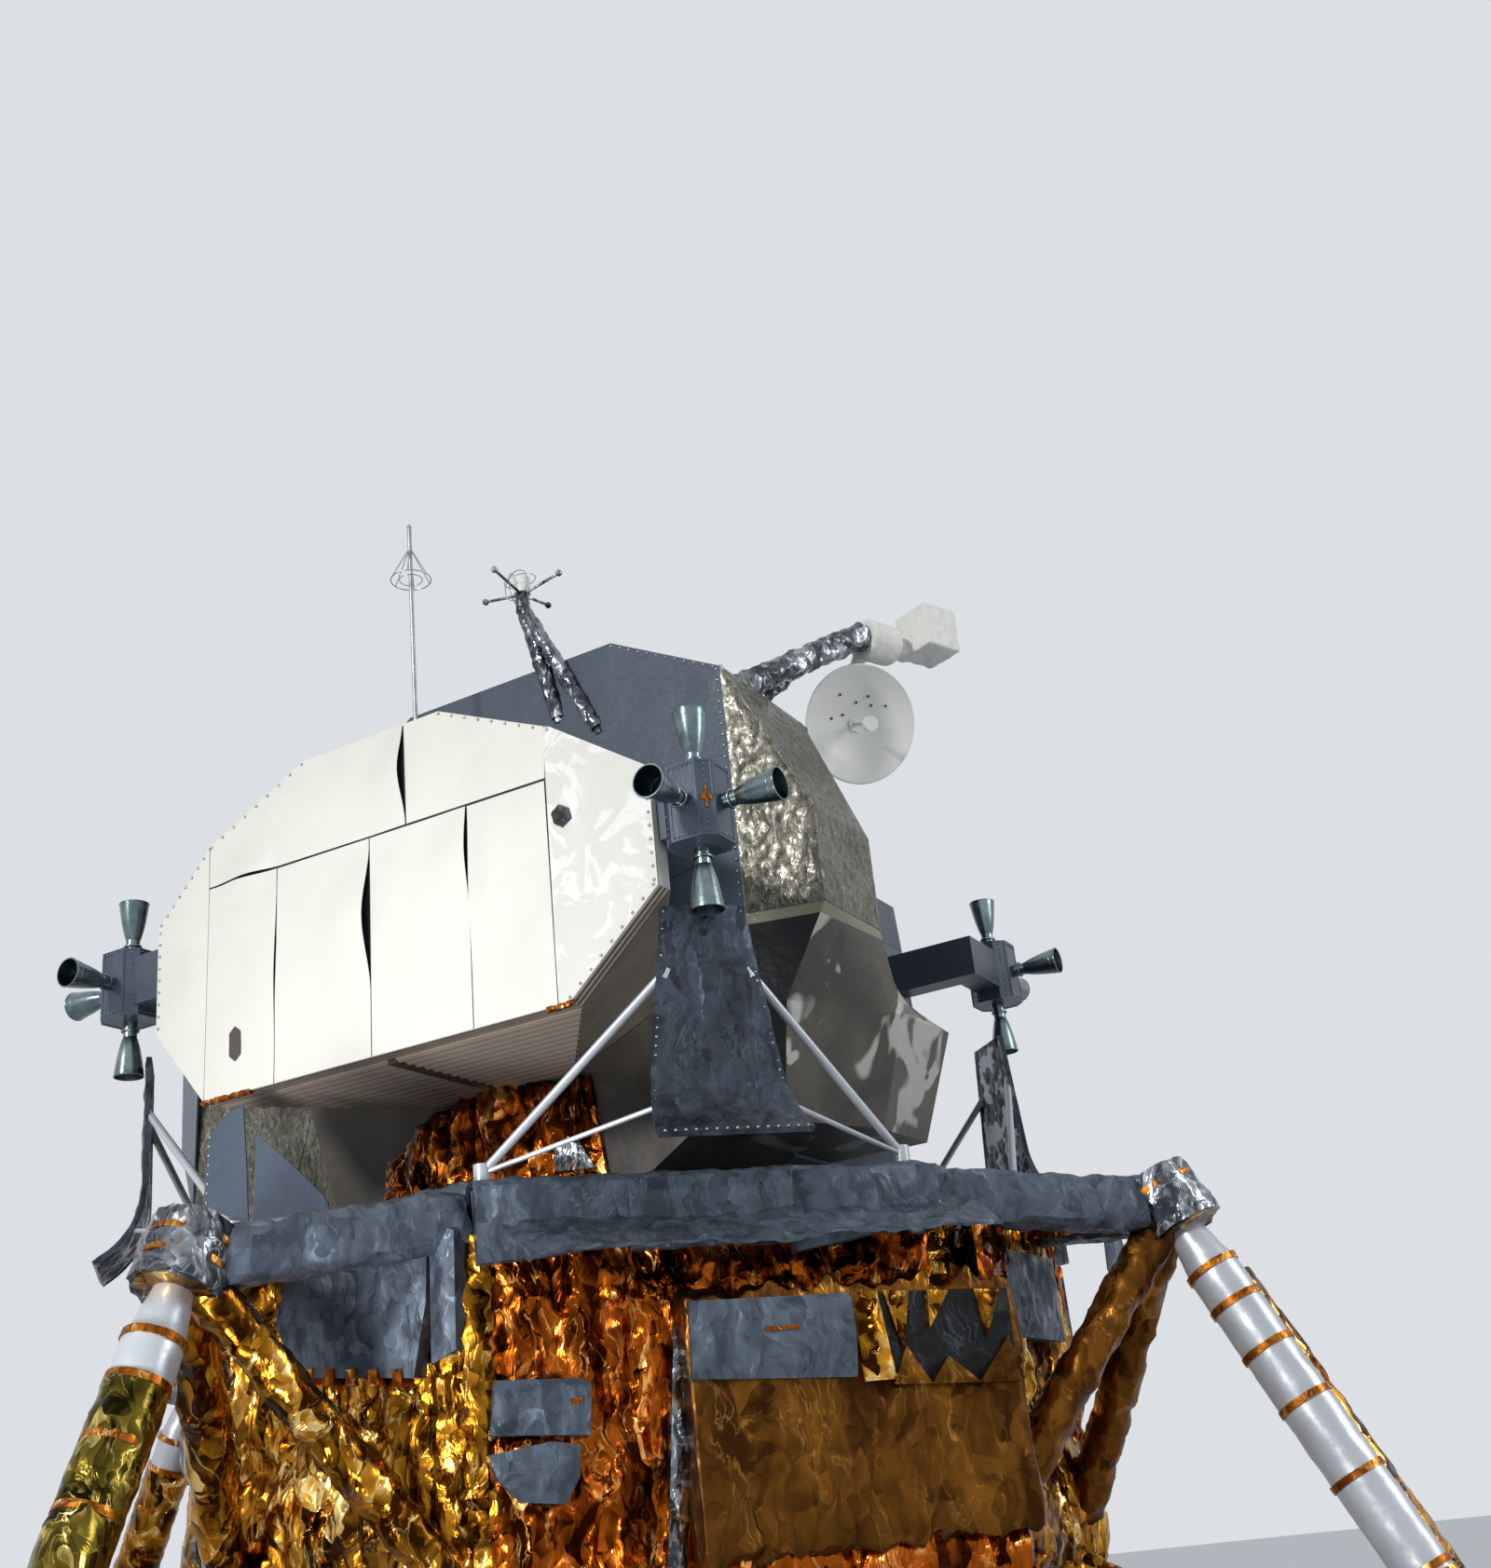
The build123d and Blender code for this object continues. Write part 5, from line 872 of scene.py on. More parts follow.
# %% Deck top and its rolled edge
ROLL_R, ROLL_DROP, ROLL_INSET = 0.055, 0.03, 0.985
RIM = [(STAGE_HALF, -END_HALF), (STAGE_HALF, END_HALF), (END_HALF, STAGE_HALF), (-END_HALF, STAGE_HALF),
       (-STAGE_HALF, END_HALF), (-STAGE_HALF, -END_HALF), (-END_HALF, -STAGE_HALF), (END_HALF, -STAGE_HALF)]
skin("deck_cover", placing((1, 0, 0), (0, 1, 0), (0, 0, DECK_TOP)), RIM, SHEET_GRAY,
     (("CLOUDS", 0.3, 0.008), ("VORONOI", 0.1, 0.006)), lift=0.006, back=0.01, step=0.035, soft=0.1)
for place, ends in enumerate(sides(RIM)):
    start, end = (Vector((x * ROLL_INSET, y * ROLL_INSET, 0)) for x, y in ends)
    level = UP * (DECK_TOP - ROLL_DROP)
    bar_wrap(f"deck_roll_{place}", start + level, end + level, ROLL_R, BLANKET,
             (("VORONOI", 0.09, 0.016), ("CLOUDS", 0.3, 0.02)), 16)
    bar_wrap(f"corner_fold_{place}", start + UP * (DECK_LOW + 0.02), start + UP * (DECK_TOP - 0.20), 0.06,
             FACE_FOIL[(45 * ((place + 1) // 2)) % 360], (("CLOUDS", 0.4, 0.05), ("VORONOI", 0.10, 0.05)), 14)
print("deck edge: rolls and folds", 2 * len(RIM))

# %% [markdown]
# ## Blankets, patches and tape on the lower stage
#
# Blue-gray blankets lie over the foil where the upper engines' plumes reach. They are stiffer than the film,
# so they keep larger dents. The pieces at the back are cut to odd shapes and held by amber tabs along their
# lower edges.

# %% The big blanket and the small patches
aft_face = stage_face(LEGS["aft"])
locker_face = stage_face(QUADS["aft_starboard"])
AFT_PATCHES = {
    "aft_blanket": (aft_face, 0.12, 0.06, [(-0.098, 2.593), (0.20, 2.555), (0.47, 2.52), (0.54, 2.80),
                                           (0.56, 3.16), (0.10, 3.20), (-0.16, 3.03), (-0.24, 2.82)]),
    "corner_blanket": (aft_face, 0.11, 0.05, [(0.55, 2.56), (0.67, 2.60), (0.68, 3.05), (0.56, 3.10)]),
    "upper_patch": (locker_face, 0.115, 0.05, [(-0.95, 2.275), (-0.57, 2.245), (-0.555, 2.43), (-0.60, 2.455),
                                               (-0.92, 2.47)]),
    "lower_patch": (locker_face, 0.115, 0.05, [(-0.93, 2.12), (-0.85, 2.03), (-0.68, 2.01), (-0.62, 2.10),
                                               (-0.61, 2.215), (-0.72, 2.235), (-0.96, 2.205)]),
}
for patch, (at, lift, soft, outline) in AFT_PATCHES.items():
    skin(patch, at, outline, BLANKET, BLANKET_WAVES, lift, 0.05 if at is aft_face else 0.06, soft=soft)
skin("torn_strip", locker_face, [(-0.31, 1.72), (-0.24, 1.72), (-0.135, 2.72), (-0.20, 2.74)], SILVER_WRAP,
     (("VORONOI", 0.06, 0.03), ("VORONOI", 0.03, 0.015)), lift=0.11, back=0.05, step=0.012)
print("patches:", len(AFT_PATCHES))

# %% Amber tabs
TAB_HALF = 0.022
TABS = {"aft_blanket": (0.135, 0.032, ((-0.05, 2.59), (0.06, 2.575), (0.17, 2.56), (0.28, 2.545), (0.40, 2.53))),
        "upper_patch": (0.13, 0.012, ((-0.78, 2.36), (-0.62, 2.37)))}
for patch, (lift, tall, places) in TABS.items():
    for count, (side, z) in enumerate(places):
        skin(f"{patch}_tab_{count}", AFT_PATCHES[patch][0],
             block(side - TAB_HALF, side + TAB_HALF, z - tall, z + tall), TAPE, (("VORONOI", 0.03, 0.004),),
             lift=lift, step=0.01, soft=0.01)
print("tabs:", sum(len(places) for *_, places in TABS.values()))

# %% Blanket bands under the deck's edge
BAND_LOW, BAND_TOP = DECK_TOP - 0.30, DECK_TOP - 0.02
BANDS = ((-0.97, -0.32, 0.02), (-0.36, 0.36, 0.0), (0.32, 0.97, 0.05))
for quad, heading in QUADS.items():
    for part, (left, right, drop) in enumerate(BANDS):
        outline = [(left, BAND_LOW - drop), (right, BAND_LOW + drop), (right, BAND_TOP), (left, BAND_TOP)]
        skin(f"{quad}_band_{part}", stage_face(heading), outline, BLANKET, BLANKET_WAVES, 0.125 + 0.012 * part,
             0.05, soft=0.05)
print("bands:", len(QUADS) * len(BANDS))

# %% The locker's own film and the sheets on its front
over_node("aft_locker", "locker_foil", BROWN,
          (("CLOUDS", 0.5, 0.012), ("MUSGRAVE", 0.20, 0.014, 0.3), ("VORONOI", 0.13, 0.016, 0.3)), 0.014)
locker_front = face_at(QUADS["aft_starboard"], DIAGONAL_OUT + 0.25)
FINE = {"back": 0.03, "step": 0.012}
skin("locker_blanket", locker_front, [(-0.20, 2.40), (0.46, 2.36), (0.50, 2.68), (-0.19, 2.69)], BLANKET,
     BLANKET_WAVES, lift=0.04, back=0.03)
# Painted shade: a near-black sheet stands for the shade inside the opening in the locker's front.
skin("locker_dark_panel", locker_front, [(0.58, 2.35), (1.14, 2.31), (1.15, 2.66), (0.56, 2.68)], LOCKER_SHADE_FILM,
     (("CLOUDS", 0.3, 0.02), ("VORONOI", 0.12, 0.012, 0.5)), lift=0.025, back=0.03)
skin("locker_gold_strip", locker_front, [(0.49, 2.34), (0.62, 2.34), (0.58, 2.68), (0.47, 2.68)], GOLD,
     (("VORONOI", 0.07, 0.02), ("VORONOI", 0.035, 0.01)), lift=0.045, **FINE)
skin("locker_tape", locker_front, block(0.10, 0.24, 2.555, 2.572), TAPE, (("VORONOI", 0.03, 0.003),), lift=0.06,
     back=0.03, step=0.01, soft=0.01)
skin("locker_foot", locker_face, [(-0.05, 1.60), (1.15, 1.60), (1.15, 1.79), (-0.10, 1.79)], ORANGE, FOIL_WAVES,
     lift=0.15, back=0.05)
SHARDS = ([(0.66, 2.44), (0.71, 2.67), (0.60, 2.68)], [(0.78, 2.52), (0.88, 2.66), (0.79, 2.67)],
          [(1.02, 2.47), (1.10, 2.65), (0.99, 2.66)])
TEETH = ([(0.60, 2.32), (0.76, 2.31), (0.67, 2.46)], [(0.76, 2.31), (0.97, 2.30), (0.84, 2.41)],
         [(0.96, 2.30), (1.14, 2.29), (1.11, 2.47)])
for count, (shard, tooth) in enumerate(zip(SHARDS, TEETH)):
    skin(f"locker_shard_{count}", locker_front, shard, GOLD, (("VORONOI", 0.05, 0.015),), lift=0.055,
         soft=0.02, **FINE)
    skin(f"locker_tooth_{count}", locker_front, tooth, BROWN, (("VORONOI", 0.06, 0.012),), lift=0.06,
         soft=0.02, **FINE)
print("locker sheets:", 5 + len(SHARDS) + len(TEETH))

# %% The awning over the locker
AWNING_LEFT, AWNING_RIGHT, AWNING_REACH, AWNING_THICK = -0.78, 1.13, 0.37, 0.024
low_z, high_z = (corner.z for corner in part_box("aft_awning"))
fall = high_z - low_z - AWNING_THICK
slope, down_angle = math.hypot(AWNING_REACH, fall), math.atan2(fall, AWNING_REACH)
outward = leg_place(QUADS["aft_starboard"], 1, 0, 0)
awning_at = placing(leg_place(QUADS["aft_starboard"], 0, 1, 0),
                    -outward * math.cos(down_angle) + UP * math.sin(down_angle),
                    outward * DIAGONAL_OUT + UP * high_z + outward.lerp(UP, 0.5) * 0.02)
awning = grid_on([(AWNING_LEFT - 0.04, -slope - 0.02), (AWNING_RIGHT, -slope - 0.005), (AWNING_RIGHT, 0.0),
                  (AWNING_LEFT - 0.12, 0.04)], 0.018)
ease_rim(awning, [(AWNING_LEFT, 0.02), (AWNING_RIGHT, 0.02)], 0.1)
awning.data.transform(awning_at)
crumple(awning, (("CLOUDS", 0.45, 0.035), ("VORONOI", 0.14, 0.02), ("VORONOI", 0.06, 0.008)), "inner")
hem = [v.index for v in awning.data.vertices if v.co.z < low_z + 0.05]
awning.vertex_groups.new(name="hem").add(hem, 1.0, "REPLACE")
modify(awning, "DISPLACE", texture=bpy.data.textures.new("hem", "CLOUDS"), texture_coords="LOCAL", direction="Z",
       strength=0.07, mid_level=0.5, vertex_group="hem")
modify(awning, "SOLIDIFY", thickness=0.012, offset=0.0)
settle(awning, "awning_blanket", BLANKET)
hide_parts("aft_awning")
print("awning corners:", len(awning.data.vertices))

# %% Pallet
over_node("equipment_pallet", "pallet_foil", GOLD, (("CLOUDS", 0.4, 0.02), ("VORONOI", 0.12, 0.016)), 0.018,
          "pallet")

# %% [markdown]
# ## Legs
#
# The upper beams of each leg are wrapped in blanket, the braces and side struts in amber film, and the main
# strut in film with white sleeves and rings of tape. A wrap is thicker than its bar and creased across it.

# %% Measures of a leg
LEG_APEX_R, LEG_APEX_Z = 2.896, 2.972
PAD_CENTRE_R, PAD_JOINT_Z = 4.242, 0.12
BEAM_SIDE, BEAM_ROOT_Z = 0.6035, 3.105
BRACE_SIDE, BRACE_Z = 0.590, 1.690
WRAP_WAVES = (("VORONOI", 0.11, 0.022), ("VORONOI", 0.05, 0.009))
TUBE_WAVES = (("VORONOI", 0.09, 0.010), ("VORONOI", 0.045, 0.005))
SLEEVE_SHARE, WRAP_SHARE = {"starboard": 0.80}, 0.66

# %% Outriggers and struts
for leg, heading in LEGS.items():
    apex = leg_place(heading, LEG_APEX_R, 0, LEG_APEX_Z)
    joint = leg_place(heading, PAD_CENTRE_R, 0, PAD_JOINT_Z)
    down = (joint - apex).normalized()
    for side, hand in ((1, "left"), (-1, "right")):
        beam_root = leg_place(heading, STAGE_HALF - 0.02, side * BEAM_SIDE, BEAM_ROOT_Z)
        bar_wrap(f"{leg}_beam_{hand}", beam_root, apex, 0.118, BLANKET, WRAP_WAVES, 28, 0.028, square=0.6)
        brace_root = leg_place(heading, STAGE_HALF - 0.02, side * BRACE_SIDE, BRACE_Z)
        bar_wrap(f"{leg}_brace_{hand}", brace_root, apex.lerp(brace_root, 0.04), 0.078,
                 BROWN if leg == "starboard" else GOLD, WRAP_WAVES, 22, 0.028)
    hub_top, hub_low = apex - down * 0.135, apex + down * 0.11
    bar_wrap(f"{leg}_hub_wrap", hub_top, hub_low, 0.165, SILVER_WRAP, WRAP_WAVES, 30, 0.025)
    tape_rings(f"{leg}_hub_tape", hub_top, hub_low, (0.25, 0.62), 0.171, 0.025)
    neck, low_end = apex + down * 0.12, apex.lerp(joint, WRAP_SHARE)
    top = neck + down * 0.2
    white_end = top.lerp(low_end, SLEEVE_SHARE.get(leg, 0.10))
    bar_wrap(f"{leg}_strut_cone", neck, top, 0.074, TUBE_WHITE, (("VORONOI", 0.08, 0.004),), 28, 0.02,
             end_radius=0.109)
    bar_wrap(f"{leg}_strut_sleeve", top, white_end, 0.112, TUBE_WHITE, (("VORONOI", 0.09, 0.005),), 28, 0.025)
    bar_wrap(f"{leg}_strut_wrap", white_end, low_end, 0.116, OLIVE if leg == "aft" else GOLD, TUBE_WAVES, 28,
             0.022)
    tape_rings(f"{leg}_strut_tape", top, low_end, (0.0, 0.095, 0.22, 0.36, 0.55, 0.78, 0.98), 0.121)
    over_node(f"{leg}_side_struts", f"{leg}_truss_wrap", GOLD, (("VORONOI", 0.08, 0.010),), 0.016)
    over_node(f"{leg}_footpad", f"{leg}_pad_foil", GOLD, (("VORONOI", 0.09, 0.010),), 0.016, floor=0.04)
print("legs:", len(LEGS))

# %% Film beside the starboard leg
to_front = Vector((-0.026, -0.062, 0))
apex = leg_place(LEGS["starboard"], LEG_APEX_R, 0, LEG_APEX_Z)
joint = leg_place(LEGS["starboard"], PAD_CENTRE_R, 0, PAD_JOINT_Z)
bar_wrap("starboard_strut_gold", apex.lerp(joint, 0.12) + to_front, apex.lerp(joint, 0.62) + to_front, 0.098,
         GOLD, TUBE_WAVES, 28, 0.022)
hanging("outrigger_flap", face_at(LEGS["starboard"], 2.45),
        [(0.40, 2.80), (0.62, 2.70), (0.74, 2.86), (0.66, 3.04), (0.44, 3.04)], BLANKET, BLANKET_WAVES)
hanging("loose_film", face_at(LEGS["starboard"], STAGE_HALF + 0.17),
        [(-0.64, 2.50), (-0.52, 2.12), (-0.40, 2.45), (-0.34, 3.02), (-0.66, 3.04)], ORANGE,
        (("CLOUDS", 0.4, 0.08), ("VORONOI", 0.16, 0.05, 0.4), ("VORONOI", 0.06, 0.02)), 0.004)
print("starboard film done")

# %% [markdown]
# ## Upper stage: the aft bay's skins
#
# The bay's rear is covered by thin white sheets, held at their edges only. Heat has bowed them, so they stand
# off here and there and leave lens-shaped gaps at the seams. Each sheet is a grid of its own, with an edge
# pulled out where the photograph shows a gap. The sheet at the right has the rippled light that it throws back
# painted into its colour.

# %% Outlines of the rear sheets, and where they bow
BAY_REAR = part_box("aft_equipment_bay")[1].y
SHEET_LIFT = 0.007
BACKING = [(-1.35, 4.37), (-1.04, 3.972), (1.04, 3.972), (1.51, 4.37), (1.51, 4.90), (1.02, 5.25), (0.41, 5.52),
           (-0.41, 5.52), (-1.02, 5.25), (-1.35, 4.90)]
PANELS = {
    "port_wing": [(-1.361, 4.366), (-1.040, 3.965), (-1.024, 5.250), (-1.361, 4.907)],
    "upper_port": [(-1.020, 5.035), (0.203, 5.02), (0.203, 5.530), (-0.417, 5.530), (-1.020, 5.256)],
    "upper_starboard": [(0.211, 5.02), (0.990, 5.013), (1.000, 5.262), (0.417, 5.530), (0.211, 5.530)],
    "lower_1": [(-1.036, 3.965), (-0.604, 3.965), (-0.584, 5.018), (-1.020, 5.026)],
    "lower_2": [(-0.598, 3.965), (-0.026, 3.965), (-0.014, 5.010), (-0.578, 5.016)],
    "lower_3": [(-0.020, 3.965), (0.541, 3.965), (0.553, 5.004), (-0.008, 5.010)],
    "lower_4": [(0.547, 3.965), (0.985, 3.965), (0.985, 5.000), (0.559, 5.004)],
    "starboard_wing": [(0.990, 3.965), (1.044, 3.965), (1.521, 4.366), (1.521, 4.907), (1.029, 5.253),
                       (0.996, 5.253)],
}
BOWS = {
    "upper_port": (((0.203, 5.28), (-0.012, 0.035), 0.26), ((-0.78, 5.03), (0.02, 0.03), 0.22)),
    "lower_1": (((-0.78, 5.02), (-0.02, 0.022), 0.18), ((-0.592, 4.5), (-0.002, 0.010), 0.40)),
    "lower_2": (((-0.020, 4.62), (-0.012, 0.045), 0.36), ((-0.59, 4.4), (0.005, 0.010), 0.3)),
    "lower_3": (((0.547, 4.8), (-0.006, 0.02), 0.3),),
    "lower_4": (((0.553, 4.6), (0.008, 0.020), 0.4),),
}

# %% Rear sheets of the bay
bay_face = face_at(90, BAY_REAR)
skin("bay_backing", bay_face, BACKING, DARK_SKIN, lift=0.002, back=0.004, step=0.2)
for part, outline in PANELS.items():
    sheet = grid_on(outline, 0.03)
    ease_rim(sheet, outline, 0.10)
    sheet.data.transform(bay_face @ Matrix.Translation((0, 0, SHEET_LIFT)))
    crumple(sheet, (("CLOUDS", 0.5, 0.016), ("CLOUDS", 0.22, 0.004)), "inner")
    for (side, z), (slide, stand), reach in BOWS.get(part, ()):
        push = bay_face.to_3x3() @ Vector((slide, 0, stand))
        pull(sheet, bay_face @ Vector((side, z, SHEET_LIFT)), push, reach)
    modify(sheet, "SOLIDIFY", thickness=0.002, offset=0.0)
    # The starboard wing's sheet gets painted glare ripples.
    settle(sheet, f"bay_sheet_{part}", GLARE_RIPPLES if part == "starboard_wing" else WHITE_SKIN, smooth=40)
print("bay sheets:", len(PANELS))

# %% Edges, fasteners and small fittings of the bay
BAY_EDGES = (((-1.34, 4.92), (-1.02, 5.24)), ((-1.01, 5.245), (-0.42, 5.515)), ((0.42, 5.515), (1.02, 5.24)),
             ((-1.345, 4.88), (-1.345, 4.39)), ((1.05, 3.985), (1.50, 4.37)), ((1.505, 4.88), (1.505, 4.39)))
CORNER_TAPES = (((-1.05, 3.96), (-0.75, 3.96)), ((0.93, 3.96), (1.06, 3.965)))


def row_on(at, start, end, lift, count):
    """Places in a row on a face, between two places by side and height."""
    return along(at @ Vector((*start, lift)), at @ Vector((*end, lift)), count)


fasteners = sum((row_on(bay_face, start, end, 0.012, 9) for start, end in BAY_EDGES), [])
rivets("bay_fasteners", fasteners, (0, 1, 0), 0.007, BARE)
skin("bay_oblong", bay_face, [(-0.875, 4.15), (-0.84, 4.12), (-0.805, 4.15), (-0.805, 4.26), (-0.84, 4.29),
                              (-0.875, 4.26)], BROWN_SKIN, lift=0.014, back=0.01)
skin("bay_vent", bay_face, [(1.03, 4.78), (1.07, 4.75), (1.12, 4.78), (1.11, 4.83), (1.06, 4.86), (1.02, 4.83)],
     DARK_SKIN, (("VORONOI", 0.03, 0.02),), lift=0.02, step=0.01, soft=0.02)
for count, (start, end) in enumerate(CORNER_TAPES):
    bar_wrap(f"bay_corner_tape_{count}", *row_on(bay_face, start, end, 0.0, 2), 0.012, TAPE,
             (("VORONOI", 0.03, 0.008),), 10, 0.015)
print("fasteners:", len(fasteners))

# %% The blue-gray panel behind the bay, and its edges
MID_REAR, ROOF_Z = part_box("midsection")[1].yz
MID_PANEL = [(-1.321, 4.30), (1.415, 4.508), (1.415, 5.814), (0.798, ROOF_Z), (-0.520, ROOF_Z), (-1.321, 5.560)]
mid_face = face_at(90, MID_REAR)
skin("rear_panel", mid_face, MID_PANEL, BLUE_SKIN, SHEET_WAVES, lift=0.004, back=0.004, step=0.04)
rivets("rear_panel_rivets", row_on(mid_face, (1.395, 4.55), (1.395, 5.80), 0.006, 22)
       + row_on(mid_face, (1.38, 5.82), (0.80, ROOF_Z - 0.02), 0.006, 12), (0, 1, 0), 0.008, BARE)
bar_wrap("rear_corner_strip", *row_on(mid_face, (1.418, 4.50), (1.418, 5.82), -0.01, 2), 0.012, TUBE_WHITE,
         (), 10, 0.1)
print("rear panel up to", round(ROOF_Z, 3))

# %% Flat sides of the tank bays
CRINKLE = (("CLOUDS", 0.22, 0.007), ("MUSGRAVE", 0.08, 0.003), ("VORONOI", 0.04, 0.003))
STARBOARD_SIDES = {
    "shoulder": [(-1.778, 0.74, 4.99), (-1.778, 0.14, 4.99), (-1.415, -0.04, 5.814), (-1.415, 0.838, 5.814)],
    "side": [(-1.778, 0.74, 4.508), (-1.778, 0.14, 4.508), (-1.778, 0.14, 4.99), (-1.778, 0.74, 4.99)],
    "front": [(-1.778, 0.14, 4.508), (-1.415, -0.04, 4.508), (-1.415, -0.04, 5.814), (-1.778, 0.14, 4.99)],
    "rear": [(-1.415, 0.838, 4.508), (-1.778, 0.74, 4.508), (-1.778, 0.74, 4.99), (-1.415, 0.838, 5.814)],
}
PORT_SIDES = {
    "side": [(2.489, -0.53, 4.18), (2.489, 0.54, 4.18), (2.489, 0.54, 4.93), (2.489, -0.53, 4.93)],
    "shoulder": [(2.489, -0.53, 4.93), (2.489, 0.54, 4.93), (2.23, 0.70, 5.33), (2.23, -0.686, 5.33)],
    "top": [(2.23, -0.686, 5.33), (2.23, 0.70, 5.33), (1.75, 0.70, 5.56), (1.75, -0.686, 5.56)],
    "chine": [(2.23, -0.686, 3.76), (2.23, 0.70, 3.76), (2.489, 0.54, 4.18), (2.489, -0.53, 4.18)],
    "under": [(1.70, -0.686, 3.58), (1.70, 0.70, 3.58), (2.23, 0.70, 3.76), (2.23, -0.686, 3.76)],
    "front_edge": [(2.23, -0.686, 3.76), (2.489, -0.53, 4.18), (2.489, -0.53, 4.93), (2.23, -0.686, 5.33)],
    "rear_edge": [(2.489, 0.54, 4.18), (2.23, 0.70, 3.76), (2.23, 0.70, 5.33), (2.489, 0.54, 4.93)],
    "front": [(1.33, -0.686, 4.28), (1.56, -0.686, 3.585), (1.70, -0.686, 3.58), (2.23, -0.686, 3.76),
              (2.23, -0.686, 5.33), (1.75, -0.686, 5.56), (1.33, -0.686, 5.53)],
    "rear": [(1.56, 0.70, 3.585), (1.33, 0.70, 4.28), (1.33, 0.70, 5.53), (1.75, 0.70, 5.56), (2.23, 0.70, 5.33),
             (2.23, 0.70, 3.76), (1.70, 0.70, 3.58)],
}
PAINTED_SIDES = {"under": BROWN_SKIN, "chine": GRAY_SKIN, "front_edge": GRAY_SKIN, "rear_edge": GRAY_SKIN}

# %% Skins on the tank bays
TANK_SKIN = {"lift": 0.004, "back": 0.006, "soft": 0.02, "smooth": 40}
for part, corners in STARBOARD_SIDES.items():
    panel(f"starboard_{part}", corners, SILVER, CRINKLE, step=0.012, **TANK_SKIN)
for part, corners in PORT_SIDES.items():
    material, waves = (PAINTED_SIDES[part], SHEET_WAVES) if part in PAINTED_SIDES else (SILVER, CRINKLE)
    panel(f"port_{part}", corners, material, waves, step=0.018, **TANK_SKIN)
print("tank bay skins:", len(STARBOARD_SIDES) + len(PORT_SIDES))

# %% The ribbed sheet under the aft bay, and its seam
RIB_STEP, RIB_HIGH = 0.064, 0.010
BAY_LOW, SLAB_FRONT = 3.965, BAY_REAR - 0.10
ROOT_Y, ROOT_HALF, SLAB_HALF, SEAM_HALF = MID_REAR + 0.01, 0.40, 1.03, 0.022


def under_bay(front_half, root_half):
    """Corners of a sheet under the bay, from its rear slab to the midsection."""
    return [(-front_half, SLAB_FRONT, BAY_LOW), (front_half, SLAB_FRONT, BAY_LOW), (root_half, ROOT_Y, BAY_LOW),
            (-root_half, ROOT_Y, BAY_LOW)]


ribbed = panel("bay_ribs", under_bay(SLAB_HALF, ROOT_HALF), BROWN_RIBS, lift=0.004, back=0.004, step=0.0107,
               soft=0.02, smooth=50)
for vertex in ribbed.data.vertices:
    if vertex.co.z < BAY_LOW:
        beat = abs(2 * ((vertex.co.y / RIB_STEP) % 1) - 1)
        vertex.co.z -= RIB_HIGH * min(max(beat * 2 - 0.5, 0), 1)
panel("bay_seam", under_bay(SEAM_HALF, SEAM_HALF), BROWN_SKIN, lift=0.020, back=0.004, step=0.04, soft=0.01)
print("ribs", len(ribbed.data.vertices), "corners")

# %% Orange film and dark panels under the bay
LEAF_OUT, LEAF_THICK = 1.95, 0.006
leaf_face = face_at(90, LEAF_OUT)
skin("under_foil", mid_face, [(-0.78, 3.45), (0.56, 3.45), (0.50, 3.93), (-0.40, 3.93), (-0.74, 3.72)], ORANGE,
     FOIL_WAVES, lift=0.03)
skin("under_leaf", mid_face, [(0.30, 3.50), (0.52, 3.48), (0.44, 3.62), (0.34, 3.70), (0.29, 3.62)], SILVER_WRAP,
     (("VORONOI", 0.08, 0.02),), lift=0.06, back=0.03, step=0.012)
hanging("port_leaf", leaf_face, [(-0.88, 3.20), (-0.60, 3.20), (-0.62, 3.60), (-0.64, 3.845), (-0.744, 3.83),
                                 (-0.845, 3.745), (-0.87, 3.50)], GRAY_SKIN, SHEET_WAVES, LEAF_THICK)
hanging("centre_leaf", leaf_face, [(-0.58, 3.20), (-0.10, 3.22), (-0.19, 3.39), (-0.38, 3.55), (-0.563, 3.72)],
        GRAY_SKIN, SHEET_WAVES, LEAF_THICK)
rivets("leaf_rivets", row_on(leaf_face, (-0.865, 3.28), (-0.84, 3.74), 0.005, 12), (0, 1, 0), 0.007, BARE)
print("under the bay: film and leaves")

# %% [markdown]
# ## The forward side: windows, hatch frame and panels
#
# This side isn't in the photograph. The two windows are triangles in the slanted panels of the nose, each
# with a frame round it, and the square hatch between them opens over the porch. The faces of the lower stage
# keep the same mix of film and blankets as the side that shows.

# %% Window frames
NOSE_Y, NOSE_X, CHEEK_Y, CHEEK_X, CABIN_BASE = -1.753, 0.45, -1.42, 1.219, 3.404
WINDOW = ((0.060, 1.726), (0.600, 1.726), (0.250, 1.236))
BEAD_SIZE = 1.22


def screws_along(corners, margin, count):
    """Places along each side of an outline that keep a share of the side's length free at its ends."""
    return sum((along(start.lerp(end, margin), start.lerp(end, 1 - margin), count)
                for start, end in sides(corners)), [])


for side, hand in ((1, "port"), (-1, "starboard")):
    root = Vector((side * NOSE_X, NOSE_Y, CABIN_BASE))
    way = Vector((side * (CHEEK_X - NOSE_X), CHEEK_Y - NOSE_Y, 0)).normalized()
    out = Vector((side * (CHEEK_Y - NOSE_Y), -(CHEEK_X - NOSE_X), 0)).normalized()
    corners = [root + way * run + UP * high + out * 0.006 for run, high in WINDOW]
    frame_bars(f"{hand}_window_frame", corners, 0.016, BARE)
    middle = sum(corners, Vector()) / 3
    bead = [middle + (corner - middle) * BEAD_SIZE for corner in corners]
    frame_bars(f"{hand}_window_bead", bead, 0.008, DARK_SKIN)
    screws = [place + out * 0.008 for place in screws_along(bead, 0.08, 9)]
    rivets(f"{hand}_window_screws", screws, out, 0.007, BARE)
print("windows framed")

